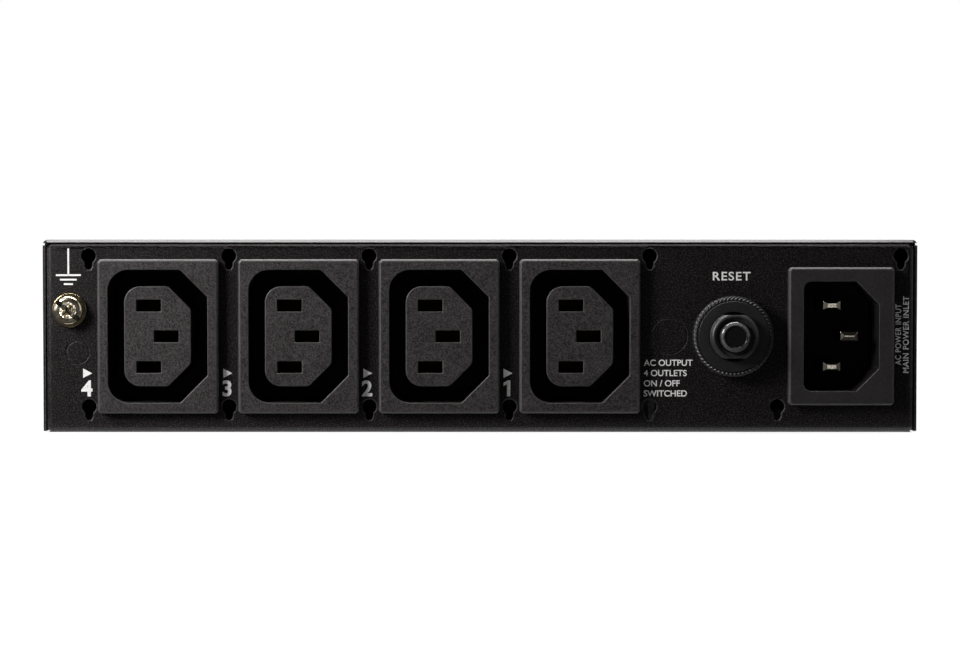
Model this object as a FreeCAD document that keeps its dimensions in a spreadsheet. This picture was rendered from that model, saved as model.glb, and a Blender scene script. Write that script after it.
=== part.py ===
import FreeCAD, Part
import math
import os
from types import SimpleNamespace

import Sketcher
from FreeCAD import Placement, Rotation, Vector

# Half-rack smart power distribution unit. A folded steel case carries four switched outlets,
# an appliance inlet, a breaker with a reset button and a bonding screw on its outlet side,
# and a network jack with indicators on its front.
# Millimetres, Z up. The outlets look along -Y, with X to the right when facing them.
# The origin is the middle of the bottom face.

OUTLETS = 4
VENT_SLOTS = 10
INDICATORS = 5
JACK_WIRES = 8
KNURL_TEETH = 60
WIRE_SIDES = 6
# Flats of small round heads and seats, which keep the mesh light
SMALL_ROUND_SIDES = 16
# How a swept section passes the corners of its path
MITRED = 1

DRIVING_SIZES = {
    # Case sheets
    "tray_sheet": 1.0,
    "cover_sheet": 0.8,
    "cover_gap": 0.15,
    "cover_lift": 0.2,
    "cover_bend": 1.2,
    "cover_setback": 0.9,
    "cover_edge_bevel": 0.6,
    "tray_bend": 1.3,
    "corner_slit": 0.5,
    "case_depth": 162.0,
    "panel_return": 9.0,
    "lip_height": 10.0,
    # Outlet side, from its left edge to its right edge
    "left_margin": 12.95,
    "outlet_gap": 4.5,
    "breaker_left": 21.15,
    "breaker_right": 12.55,
    "right_margin": 5.75,
    "panel_margin": 4.45,
    "panel_fit": 0.15,
    # Cord clip keyholes
    "keyhole_radius": 1.62,
    "keyhole_slot": 1.65,
    "keyhole_reach": 3.2,
    "keyhole_top_inset": 3.7,
    "keyhole_bottom_inset": 5.9,
    "keyhole_clear": 0.15,
    # Knock-out rings
    "small_ring_inset": 8.1,
    "small_ring_drop": 3.7,
    "small_ring_radius": 2.6,
    "large_ring_gap": 6.65,
    "large_ring_radius": 4.1,
    "ring_groove": 0.35,
    # Bonding screw
    "ground_inset": 6.4,
    "ground_rise": 5.9,
    "ground_thread": 1.95,
    "ground_length": 8.0,
    "ground_head_radius": 3.3,
    "ground_head_height": 2.4,
    "ground_crown_radius": 2.3,
    "ground_crown_drop": 0.9,
    "ground_slot": 0.9,
    "ground_recess": 1.2,
    "washer_radius": 3.9,
    "washer_thickness": 0.9,
    "washer_split": 0.7,
    "thread_fit": 0.08,
    "screw_hole_fit": 0.3,
    "ground_nut_radius": 3.5,
    "ground_nut_height": 3.0,
    # Outlet moulding
    "core_width": 15.2,
    "core_height": 22.8,
    "core_round": 3.7,
    "core_chamfer": 5.2,
    "core_chamfer_round": 1.8,
    "groove_gap": 3.7,
    "groove_round": 4.8,
    "groove_chamfer": 6.2,
    "groove_depth": 17.5,
    "outlet_wall": 1.1,
    "outlet_floor": 3.0,
    "barrel_bevel": 3.4,
    "outlet_lip": 1.35,
    "outlet_flange": 2.6,
    "flange_corner": 0.6,
    "flange_edge": 0.4,
    "slot_width": 5.55,
    "slot_height": 2.65,
    "slot_lip": 2.2,
    "pole_spread": 14.0,
    "pole_shift": 2.0,
    "chamber_width": 6.6,
    "chamber_height": 4.0,
    "contact_fit": 0.15,
    "contact_sheet": 0.5,
    "contact_tail": 3.0,
    "contact_rear": 1.5,
    "tail_proud": 2.0,
    "latch_width": 12.0,
    "latch_height": 0.9,
    "latch_length": 5.0,
    # Inlet moulding and its blades
    "cavity_width": 17.1,
    "cavity_height": 24.9,
    "cavity_round": 1.8,
    "cavity_chamfer": 5.2,
    "cavity_depth": 16.5,
    "inlet_wall": 1.3,
    "inlet_floor": 3.5,
    "inlet_side_lip": 2.2,
    "inlet_end_lip": 1.95,
    "inlet_flange": 2.6,
    "blade_width": 4.0,
    "blade_thickness": 2.0,
    "blade_recess": 1.5,
    "blade_bevel": 0.6,
    "blade_fit": 0.05,
    "tab_width": 6.3,
    "tab_thickness": 0.8,
    "tab_length": 9.0,
    # Breaker
    "neck_radius": 5.4,
    "neck_flats": 9.8,
    "neck_length": 6.5,
    "mouth_radius": 4.4,
    "mouth_depth": 0.8,
    "button_radius": 3.6,
    "button_fit": 0.15,
    "button_proud": 1.5,
    "button_bevel": 0.8,
    "button_travel": 3.5,
    "button_stop": 0.3,
    "shoulder_step": 0.7,
    "shoulder_length": 1.5,
    "nut_radius": 9.25,
    "nut_skirt": 2.6,
    "nut_step": 1.15,
    "nut_height": 4.0,
    "nut_bevel": 0.4,
    "knurl_depth": 0.35,
    "knurl_width": 0.8,
    "breaker_width": 14.5,
    "breaker_height": 33.0,
    "breaker_depth": 28.0,
    "breaker_bevel": 0.8,
    "breaker_tab_spread": 16.0,
    # Upright outlet board and relays
    "board_thickness": 1.6,
    "board_gap": 0.3,
    "board_edge": 2.0,
    "board_hole_fit": 0.2,
    "relay_width": 12.7,
    "relay_height": 29.0,
    "relay_depth": 15.7,
    "relay_rise": 3.5,
    "relay_bevel": 0.5,
    # Main board and what stands on it
    "standoff_height": 6.0,
    "standoff_radius": 3.1,
    "standoff_inset": 6.0,
    "board_screw_radius": 1.45,
    "board_screw_head": 2.7,
    "board_screw_rise": 1.8,
    "board_screw_reach": 4.0,
    "board_side_gap": 8.0,
    "board_right_gap": 23.0,
    "board_front_gap": 0.5,
    "wiring_depth": 46.0,
    "film_thickness": 0.4,
    "film_fit": 0.5,
    "supply_length": 52.0,
    "supply_width": 27.0,
    "supply_height": 23.5,
    "supply_inset": 22.0,
    "supply_front": 60.0,
    "part_bevel": 0.8,
    "capacitor_radius": 8.0,
    "capacitor_height": 25.0,
    "capacitor_gap": 14.0,
    "sensor_length": 16.0,
    "sensor_width": 11.0,
    "sensor_height": 14.0,
    "sensor_gap": 8.0,
    "terminal_width": 22.0,
    "terminal_depth": 13.0,
    "terminal_height": 13.0,
    "terminal_gap": 24.0,
    "terminal_pitch": 10.0,
    "terminal_shift": 4.0,
    "chip_width": 14.0,
    "chip_height": 1.5,
    "chip_front": 32.0,
    "header_length": 17.0,
    "header_width": 5.0,
    "header_height": 5.0,
    "header_gap": 1.0,
    # Network jack and indicators on the front
    "jack_inset": 46.0,
    "jack_width": 16.0,
    "jack_height": 13.4,
    "jack_depth": 21.0,
    "jack_proud": 0.2,
    "jack_fit": 0.25,
    "jack_mouth_width": 11.8,
    "jack_mouth_height": 6.6,
    "jack_mouth_top": 2.0,
    "jack_key_width": 6.2,
    "jack_key_height": 3.0,
    "jack_mouth_depth": 14.0,
    "jack_wire": 0.5,
    "jack_wire_pitch": 1.02,
    "jack_wire_length": 9.0,
    "jack_wire_drop": 0.8,
    "lens_width": 2.4,
    "lens_height": 4.0,
    "lens_fit": 0.15,
    "lens_proud": 0.4,
    "lens_bevel": 0.3,
    "lens_pitch": 9.0,
    "lens_inset": 40.0,
    "lens_rise": 8.0,
    "pipe_width": 3.4,
    "pipe_head": 1.0,
    "pipe_setback": 5.0,
    "rail_height": 1.4,
    "led_height": 1.4,
    "led_gap": 0.2,
    # Wiring and inner earth point
    "wire_radius": 1.4,
    "wire_bend": 5.0,
    "wire_reach": 16.0,
    "boot_wall": 0.6,
    "boot_length": 13.0,
    "boot_grip": 8.0,
    "boot_fit": 0.12,
    "stud_radius": 1.95,
    "stud_height": 11.0,
    "stud_head": 3.0,
    "stud_sink": 0.1,
    "stud_setback": 54.0,
    "earth_nut_radius": 4.0,
    "earth_nut_height": 3.2,
    "ring_radius": 3.9,
    "ring_sheet": 0.8,
    # Cover screws, vents and bracket holes
    "cover_screw_radius": 1.45,
    "cover_screw_head": 2.8,
    "cover_screw_sink": 0.05,
    "cover_screw_length": 6.0,
    "cover_screw_height": 5.6,
    "cover_screw_inset": 26.0,
    "countersink_fit": 0.12,
    "vent_width": 2.6,
    "vent_height": 16.0,
    "vent_pitch": 6.0,
    "vent_rear": 34.0,
    "vent_rise": 2.0,
    "vent_corner": 0.8,
    "bracket_hole": 1.65,
    "bracket_inset": 15.0,
    "bracket_pitch": 30.0,
}

doc = FreeCAD.newDocument("PowerUnit")
sheet = doc.addObject("Spreadsheet::Sheet", "Sizes")
for row, (alias, length) in enumerate(DRIVING_SIZES.items(), start=1):
    sheet.set(f"A{row}", alias)
    sheet.set(f"B{row}", str(length))
    sheet.setAlias(f"B{row}", alias)
doc.recompute()


class Size:
    """A length in millimetres, kept with the sheet formula that gives it."""

    def __init__(self, value, formula):
        self.value = value
        self.formula = formula

    def __add__(self, other):
        other = as_size(other)
        return Size(self.value + other.value, f"({self.formula} + {other.formula})")

    def __sub__(self, other):
        other = as_size(other)
        return Size(self.value - other.value, f"({self.formula} - {other.formula})")

    def __mul__(self, factor):
        return Size(self.value * factor, f"({self.formula} * {factor})")

    def __truediv__(self, divisor):
        return Size(self.value / divisor, f"({self.formula} / {divisor})")

    def __neg__(self):
        return Size(-self.value, f"(-1 * {self.formula})")

    def __rsub__(self, other):
        return as_size(other) - self

    __radd__ = __add__
    __rmul__ = __mul__


def as_size(number):
    """A plain number as a size."""
    return number if isinstance(number, Size) else Size(float(number), f"({float(number)})")


size = SimpleNamespace()
for alias in DRIVING_SIZES:
    setattr(size, alias, Size(sheet.get(alias), f"Sizes.{alias}"))

# How far a cutter reaches past the surface it opens
OVERCUT = 1.0
# How much one leg of a 45 degree corner grows for each millimetre that its outline moves out
CHAMFER_GROWTH = 2 - math.sqrt(2)

# Outlet moulding, from its core outwards
groove_width = size.core_width + 2 * size.groove_gap
groove_height = size.core_height + 2 * size.groove_gap
outlet_width = groove_width + 2 * size.outlet_wall
outlet_height = groove_height + 2 * size.outlet_wall
outlet_flange_width = outlet_width + 2 * size.outlet_lip
outlet_flange_height = outlet_height + 2 * size.outlet_lip
outlet_depth = size.groove_depth + size.outlet_floor
outlet_pitch = outlet_flange_width + size.outlet_gap

# Inlet moulding, from its cavity outwards
inlet_width = size.cavity_width + 2 * size.inlet_wall
inlet_height = size.cavity_height + 2 * size.inlet_wall
inlet_flange_width = inlet_width + 2 * size.inlet_side_lip
inlet_flange_height = inlet_height + 2 * size.inlet_end_lip
inlet_depth = size.cavity_depth + size.inlet_floor

# Case around the row of connectors
outlet_row_width = OUTLETS * outlet_flange_width + (OUTLETS - 1) * size.outlet_gap
breaker_zone = size.breaker_left + size.breaker_right
case_width = size.left_margin + outlet_row_width + breaker_zone + inlet_flange_width + size.right_margin
case_height = outlet_flange_height + 2 * size.panel_margin
left_side = -case_width / 2
right_side = case_width / 2
rear_face = -size.case_depth / 2
front_face = size.case_depth / 2
middle_height = case_height / 2
tray_left = left_side + size.cover_sheet + size.cover_gap
tray_right = right_side - size.cover_sheet - size.cover_gap
tray_top = case_height - size.cover_sheet - size.cover_gap
returns_start = rear_face + size.panel_return
returns_end = front_face - size.panel_return

# Places along the outlet side
outlet_row_left = left_side + size.left_margin
outlet_row_right = outlet_row_left + outlet_row_width
breaker_x = outlet_row_right + size.breaker_left
inlet_x = breaker_x + size.breaker_right + inlet_flange_width / 2
outlet_face = rear_face - size.outlet_flange
inlet_face = rear_face - size.inlet_flange
ground_x = left_side + size.ground_inset
ground_z = middle_height + size.ground_rise

# The three poles of a connector, as seen from outside, from its centre
POLES = {
    "line": (-size.pole_shift, size.pole_spread / 2),
    "neutral": (-size.pole_shift, -size.pole_spread / 2),
    "earth": (size.pole_shift, as_size(0)),
}

# Boards inside
upright_board_rear = outlet_face + outlet_depth + size.board_gap
upright_board_front = upright_board_rear + size.board_thickness
board_bottom = size.tray_sheet + size.standoff_height
board_top = board_bottom + size.board_thickness
board_left = tray_left + size.tray_sheet + size.board_side_gap
board_right = tray_right - size.tray_sheet - size.board_right_gap
board_front = front_face - size.tray_sheet - size.board_front_gap
board_rear = upright_board_front + size.board_gap
board_step_x = outlet_row_right + size.board_side_gap
board_step_y = rear_face + size.wiring_depth

# Breaker tabs, inlet tabs and the wire entries of the terminal block
breaker_rear = rear_face + size.tray_sheet + size.breaker_depth
breaker_tab_end = breaker_rear + size.tab_length
inlet_tab_end = inlet_face + inlet_depth + size.tab_length
line_tab_z = middle_height + size.breaker_tab_spread / 2
load_tab_z = middle_height - size.breaker_tab_spread / 2
terminal_rear = board_step_y + size.terminal_gap
load_entry_x = breaker_x + size.terminal_shift
neutral_entry_x = load_entry_x + size.terminal_pitch
earth_stud_x = inlet_x + size.pole_shift
earth_stud_y = rear_face + size.stud_setback

TURNS = {
    "+x": Rotation(Vector(0, 0, 1), Vector(1, 0, 0)),
    "-x": Rotation(Vector(0, 0, 1), Vector(-1, 0, 0)),
    "+y": Rotation(Vector(0, 0, 1), Vector(0, 1, 0)),
    "-y": Rotation(Vector(0, 0, 1), Vector(0, -1, 0)),
    "+z": Rotation(),
}


def bind(thing, path, length):
    """Ties one number of an object to the sheet."""
    thing.setExpression(path, as_size(length).formula)


def place(thing, spot, turn=None):
    """Puts an object at a spot given by sizes, turned if asked."""
    if turn is not None:
        thing.Placement = Placement(Vector(), turn)
    for axis, length in zip("xyz", spot):
        bind(thing, f"Placement.Base.{axis}", length)


def box(name, low, high):
    """A block between its lowest and highest corner."""
    thing = doc.addObject("Part::Box", name)
    for side, lowest, highest in zip(("Length", "Width", "Height"), low, high):
        bind(thing, side, highest - lowest)
    place(thing, low)
    return thing


def rod(name, start, toward, radius, length):
    """A round bar from the middle of its first end along one direction."""
    thing = doc.addObject("Part::Cylinder", name)
    bind(thing, "Radius", radius)
    bind(thing, "Height", length)
    place(thing, start, TURNS[toward])
    return thing


def hexagon(name, start, toward, radius, length):
    """A six-sided bar from the middle of its first end along one direction.

    Shanks and holes that the closed case hides are drawn with it instead of round."""
    thing = doc.addObject("Part::Prism", name)
    thing.Polygon = 6
    bind(thing, "Circumradius", radius)
    bind(thing, "Height", length)
    place(thing, start, TURNS[toward])
    return thing


def small_rod(name, start, toward, radius, length):
    """A small round bar, drawn with flats, from the middle of its first end."""
    thing = hexagon(name, start, toward, radius, length)
    thing.Polygon = SMALL_ROUND_SIDES
    return thing


def small_cone(name, start, toward, first_radius, last_radius, length):
    """A small cone frustum along +x or -x, drawn with flats, from the middle of its first end."""
    first_x, along, up = start
    last_x = first_x + length if toward == "+x" else first_x - length
    rims = []
    for end, across, radius in (("first", first_x, first_radius), ("last", last_x, last_radius)):
        rim = doc.addObject("Part::RegularPolygon", f"{name}_{end}")
        rim.Polygon = SMALL_ROUND_SIDES
        bind(rim, "Circumradius", radius)
        place(rim, (across, along, up), TURNS[toward])
        rims.append(rim)
    thing = doc.addObject("Part::Loft", name)
    thing.Sections = rims
    thing.Solid = True
    thing.Ruled = True
    return thing


def joined(name, pieces):
    """Several overlapping solids as one."""
    thing = doc.addObject("Part::MultiFuse", name)
    thing.Shapes = pieces
    thing.Refine = True
    return thing


def shared(name, first, second):
    """What two solids have in common."""
    thing = doc.addObject("Part::Common", name)
    thing.Base = first
    thing.Tool = second
    return thing


def without(name, base, cutters):
    """A solid with everything that the cutters cover taken away."""
    thing = doc.addObject("Part::Cut", name)
    thing.Base = base
    thing.Tool = cutters[0] if len(cutters) == 1 else joined(name + "_cutters", cutters)
    thing.Refine = True
    return thing


def group(name, pieces):
    """Separate like solids kept as one sub-part."""
    thing = doc.addObject("Part::Compound", name)
    thing.Links = pieces
    return thing


def new_body(name, spot=(0, 0, 0), turn=None):
    """An empty body at a spot."""
    body = doc.addObject("PartDesign::Body", name)
    place(body, spot, turn)
    return body


def new_sketch(body, plane, shift=0):
    """A sketch on one of the body's own planes, moved along its normal."""
    planes = {feature.Role: feature for feature in body.Origin.OriginFeatures}
    sketch = body.newObject("Sketcher::SketchObject", body.Name + "_sketch")
    sketch.AttachmentSupport = (planes[plane + "_Plane"], "")
    sketch.MapMode = "FlatFace"
    bind(sketch, "AttachmentOffset.Base.z", shift)
    return sketch


def hold(sketch, constraint, length):
    """Adds a dimension tied to the sheet."""
    number = sketch.addConstraint(constraint)
    bind(sketch, f"Constraints[{number}]", length)


def hold_point(sketch, curve, point, spot):
    """Fixes one point of a curve by its distances from the sketch's origin."""
    across, up = (as_size(length) for length in spot)
    hold(sketch, Sketcher.Constraint("DistanceX", -1, 1, curve, point, across.value), across)
    hold(sketch, Sketcher.Constraint("DistanceY", -1, 1, curve, point, up.value), up)


def draw_outline(sketch, corners):
    """A closed outline of straight lines through its corners."""
    first = sketch.GeometryCount
    spots = [Vector(as_size(across).value, as_size(up).value, 0) for across, up in corners]
    for start, end in zip(spots, spots[1:] + spots[:1]):
        sketch.addGeometry(Part.LineSegment(start, end), False)
    for side in range(len(corners)):
        following = first + (side + 1) % len(corners)
        sketch.addConstraint(Sketcher.Constraint("Coincident", first + side, 2, following, 1))
    for side, corner in enumerate(corners):
        hold_point(sketch, first + side, 1, corner)


def draw_rectangle(sketch, centre, width, height):
    """A rectangle about its centre."""
    across, up = centre
    left = across - width / 2
    right = across + width / 2
    low = up - height / 2
    high = up + height / 2
    draw_outline(sketch, [(left, low), (right, low), (right, high), (left, high)])


def draw_bevelled_slot(sketch, centre, width, height, corner):
    """An upright slot with its four corners bevelled."""
    across, up = centre
    left = across - width / 2
    right = across + width / 2
    low = up - height / 2
    high = up + height / 2
    draw_outline(
        sketch,
        [
            (left + corner, low),
            (right - corner, low),
            (right, low + corner),
            (right, high - corner),
            (right - corner, high),
            (left + corner, high),
            (left, high - corner),
            (left, low + corner),
        ],
    )


def plug_outline(width, height, chamfer):
    """The keyed outline of a connector: two corners of its right side are cut off."""
    left = -width / 2
    right = width / 2
    low = -height / 2
    high = height / 2
    return [
        (left, low),
        (right - chamfer, low),
        (right, low + chamfer),
        (right, high - chamfer),
        (right - chamfer, high),
        (left, high),
    ]


def pad(body, sketch, length, backwards=False, both_ways=False):
    """Adds the sketch's outline drawn out along its normal."""
    feature = body.newObject("PartDesign::Pad", body.Name + "_pad")
    feature.Profile = sketch
    bind(feature, "Length", length)
    feature.Reversed = backwards
    feature.Midplane = both_ways
    return feature


def pocket(body, sketch, length, forwards=False):
    """Takes the sketch's outline away, against its normal unless told otherwise."""
    feature = body.newObject("PartDesign::Pocket", body.Name + "_pocket")
    feature.Profile = sketch
    bind(feature, "Length", length)
    feature.Reversed = forwards
    return feature


def revolve(body, corners):
    """A turned form about the body's Y axis, from corners given as radius and place along it."""
    sketch = new_sketch(body, "XY")
    draw_outline(sketch, corners)
    feature = body.newObject("PartDesign::Revolution", body.Name + "_turned")
    feature.Profile = sketch
    feature.ReferenceAxis = (sketch, ["V_Axis"])
    feature.Angle = 360
    return feature


def dress(body, kind, dimension, length, chosen):
    """Rounds or bevels the edges of the body that the test chooses."""
    doc.recompute()
    base = body.Tip
    names = [f"Edge{number}" for number, edge in enumerate(base.Shape.Edges, start=1) if chosen(edge)]
    if not names:
        raise RuntimeError(f"no edge to dress on {body.Name}")
    feature = body.newObject(f"PartDesign::{kind}", f"{body.Name}_{kind.lower()}")
    feature.Base = (base, names)
    bind(feature, dimension, length)
    return feature


def round_edges(body, radius, chosen):
    """Rounds the chosen edges."""
    return dress(body, "Fillet", "Radius", radius, chosen)


def bevel_edges(body, leg, chosen):
    """Bevels the chosen edges."""
    return dress(body, "Chamfer", "Size", leg, chosen)


NEAR = 1e-4


def any_edge(edge):
    """Every edge of the body."""
    return True


def runs_along_y(edge):
    """A straight edge along Y."""
    return isinstance(edge.Curve, Part.Line) and abs(abs(edge.tangentAt(edge.FirstParameter).y) - 1) < NEAR


def edges_at(spots):
    """A test for the straight edges along Y that stand at the given places across and up."""
    wanted = [(as_size(across).value, as_size(up).value) for across, up in spots]

    def chosen(edge):
        middle = edge.BoundBox.Center
        return runs_along_y(edge) and any(
            abs(middle.x - across) < NEAR and abs(middle.z - up) < NEAR for across, up in wanted
        )

    return chosen


def lies_at_y(place_along):
    """A test for the edges that lie wholly in one plane across Y."""
    wanted = as_size(place_along).value

    def chosen(edge):
        return abs(edge.BoundBox.YMin - wanted) < NEAR and abs(edge.BoundBox.YMax - wanted) < NEAR

    return chosen


def rounded_block(name, low, high, radius):
    """A block between two corners with every edge rounded."""
    body = new_body(name, low)
    block = body.newObject("PartDesign::AdditiveBox", name + "_block")
    for side, lowest, highest in zip(("Length", "Width", "Height"), low, high):
        bind(block, side, highest - lowest)
    round_edges(body, radius, any_edge)
    return body


def bevelled_block(name, low, high, leg):
    """A block between two corners with every edge bevelled."""
    body = new_body(name, low)
    block = body.newObject("PartDesign::AdditiveBox", name + "_block")
    for side, lowest, highest in zip(("Length", "Width", "Height"), low, high):
        bind(block, side, highest - lowest)
    bevel_edges(body, leg, any_edge)
    return body


def both_corners(centre, base, width, depth, height):
    """The lowest and highest corner of a block that stands on its base around its centre."""
    across, along = centre
    low = (across - width / 2, along - depth / 2, base)
    high = (across + width / 2, along + depth / 2, base + height)
    return low, high


def outlet_x(number):
    """The middle of an outlet. They are numbered from the breaker outwards."""
    return outlet_row_left + outlet_flange_width / 2 + (OUTLETS - number) * outlet_pitch


# Case


def keyhole(name, across, up):
    """Cutter for a cord clip's keyhole: a round hole with a narrow slot down from it."""
    start = rear_face - OVERCUT
    through = size.tray_sheet + 2 * OVERCUT
    half_slot = size.keyhole_slot / 2
    slot_end = up - size.keyhole_reach + half_slot
    hole = rod(name + "_hole", (across, start, up), "+y", size.keyhole_radius, through)
    end = hexagon(name + "_end", (across, start, slot_end), "+y", half_slot, through)
    slot = box(name + "_slot", (across - half_slot, start, slot_end), (across + half_slot, start + through, up))
    return joined(name, [hole, end, slot])


def ring_groove(name, across, up, radius):
    """Cutter for the scored ring of a knock-out."""
    start = rear_face - OVERCUT
    depth = OVERCUT + size.ring_groove
    half_groove = size.ring_groove / 2
    outer = rod(name + "_outer", (across, start, up), "+y", radius + half_groove, depth)
    inner = rod(name + "_inner", (across, start, up), "+y", radius - half_groove, depth)
    return without(name, outer, [inner])


def panel_window(name, across, width, height):
    """Cutter for a connector's opening in the outlet panel."""
    half_width = width / 2 + size.panel_fit
    half_height = height / 2 + size.panel_fit
    low = (across - half_width, rear_face - OVERCUT, middle_height - half_height)
    high = (across + half_width, rear_face + size.tray_sheet + OVERCUT, middle_height + half_height)
    return box(name, low, high)


def outlet_panel_cutters():
    """Everything that is punched or scored in the outlet panel."""
    cutters = []
    for number in range(1, OUTLETS + 1):
        cutters.append(panel_window(f"outlet_window_{number}", outlet_x(number), outlet_width, outlet_height))
    cutters.append(panel_window("inlet_window", inlet_x, inlet_width, inlet_height))

    start = rear_face - OVERCUT
    through = size.tray_sheet + 2 * OVERCUT
    neck_hole = rod(
        "neck_hole_round", (breaker_x, start, middle_height), "+y", size.neck_radius + size.panel_fit, through
    )
    half_flats = size.neck_flats / 2 + size.panel_fit
    flats = box(
        "neck_hole_flats",
        (breaker_x - 2 * size.neck_radius, start, middle_height - half_flats),
        (breaker_x + 2 * size.neck_radius, start + through, middle_height + half_flats),
    )
    cutters.append(shared("neck_hole", neck_hole, flats))

    ground_hole = size.ground_thread + size.screw_hole_fit
    cutters.append(hexagon("ground_hole", (ground_x, start, ground_z), "+y", ground_hole, through))

    high_row = case_height - size.keyhole_top_inset
    low_row = size.keyhole_bottom_inset
    for column in range(OUTLETS + 1):
        across = outlet_row_left - size.outlet_gap / 2 + column * outlet_pitch
        cutters.append(keyhole(f"keyhole_high_{column}", across, high_row))
        cutters.append(keyhole(f"keyhole_low_{column}", across, low_row))
    inlet_left = inlet_x - inlet_flange_width / 2 - size.outlet_gap / 2
    inlet_right = inlet_x + inlet_flange_width / 2 + size.keyhole_radius + size.keyhole_clear
    cutters.append(keyhole("keyhole_inlet_low", inlet_left, low_row))
    cutters.append(keyhole("keyhole_inlet_high", inlet_right, high_row))

    small_x = left_side + size.small_ring_inset
    small_z = middle_height - size.small_ring_drop
    large_x = outlet_row_right + size.large_ring_gap
    cutters.append(ring_groove("small_ring", small_x, small_z, size.small_ring_radius))
    cutters.append(ring_groove("large_ring", large_x, middle_height, size.large_ring_radius))
    return cutters


jack_x = right_side - size.jack_inset
lens_z = board_top + size.lens_rise
first_lens_x = left_side + size.lens_inset


def front_panel_cutters():
    """The jack's opening and the indicator windows in the front panel."""
    inside = front_face - size.tray_sheet - OVERCUT
    outside = front_face + OVERCUT
    half_width = size.jack_width / 2 + size.jack_fit
    jack_low = board_top - size.jack_fit
    jack_high = board_top + size.jack_height + size.jack_fit
    cutters = [box("jack_window", (jack_x - half_width, inside, jack_low), (jack_x + half_width, outside, jack_high))]
    for number in range(INDICATORS):
        across = first_lens_x + number * size.lens_pitch
        half_lens = size.lens_width / 2 + size.lens_fit
        half_rise = size.lens_height / 2 + size.lens_fit
        low = (across - half_lens, inside, lens_z - half_rise)
        high = (across + half_lens, outside, lens_z + half_rise)
        cutters.append(box(f"lens_window_{number}", low, high))
    return cutters


def cover_screw_places():
    """Where the cover screws stand along Y."""
    return [rear_face + size.cover_screw_inset, front_face - size.cover_screw_inset]


def fold_cutters():
    """Slits that part the folded walls at the corners, so that the pan unfolds to a flat sheet."""
    cutters = []
    slit = size.tray_bend + size.corner_slit
    sides = {
        "left": (tray_left - OVERCUT, tray_left + slit),
        "right": (tray_right - slit, tray_right + OVERCUT),
    }
    ends = {
        "rear": (rear_face + size.tray_sheet, returns_start, returns_start + size.corner_slit),
        "front": (front_face - size.tray_sheet, returns_end, returns_end - size.corner_slit),
    }
    for side, (first_x, last_x) in sides.items():
        for end, (panel, fold_end, lip_end) in ends.items():
            near, far = sorted((panel, lip_end), key=lambda length: length.value)
            lip_near, lip_far = sorted((fold_end, lip_end), key=lambda length: length.value)
            name = f"{side}_{end}"
            bottom_high = as_size(slit)
            cutters.append(box(f"foot_slit_{name}", (first_x, near, -OVERCUT), (last_x, far, bottom_high)))
            lip_top = size.lip_height + OVERCUT
            cutters.append(box(f"lip_slit_{name}", (first_x, lip_near, -OVERCUT), (last_x, lip_far, lip_top)))
            top_low = tray_top - slit
            cutters.append(box(f"head_slit_{name}", (first_x, near, top_low), (last_x, far, tray_top + OVERCUT)))
    return cutters


def chassis_tray():
    """Pan folded from one sheet: bottom, two panels with returns, and a lip along each side."""
    sheet_in = size.tray_sheet
    blank = rounded_block(
        "tray_blank", (tray_left, rear_face, as_size(0)), (tray_right, front_face, tray_top), size.tray_bend
    )
    hollow = box(
        "tray_hollow",
        (tray_left + sheet_in, rear_face + sheet_in, sheet_in),
        (tray_right - sheet_in, front_face - sheet_in, tray_top - sheet_in),
    )
    mouth = box(
        "tray_mouth",
        (tray_left - OVERCUT, returns_start, size.lip_height),
        (tray_right + OVERCUT, returns_end, tray_top + OVERCUT),
    )
    cutters = [hollow, mouth] + fold_cutters() + outlet_panel_cutters() + front_panel_cutters()
    lip_hole = size.cover_screw_radius + size.thread_fit
    for number, along in enumerate(cover_screw_places()):
        through = tray_right - tray_left + 2 * OVERCUT
        spot = (tray_left - OVERCUT, along, size.cover_screw_height)
        cutters.append(hexagon(f"lip_hole_{number}", spot, "+x", lip_hole, through))
    stud_hole = size.stud_head + size.thread_fit
    spot = (earth_stud_x, earth_stud_y, as_size(-OVERCUT))
    cutters.append(hexagon("stud_hole", spot, "+z", stud_hole, size.tray_sheet + 2 * OVERCUT))
    return without("chassis_tray", blank, cutters)


def bracket_hole_places():
    """Where the rack bracket holes of the cover's sides stand along Y, at middle height."""
    last = front_face - size.bracket_inset
    return [last - size.bracket_pitch, last]


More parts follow.
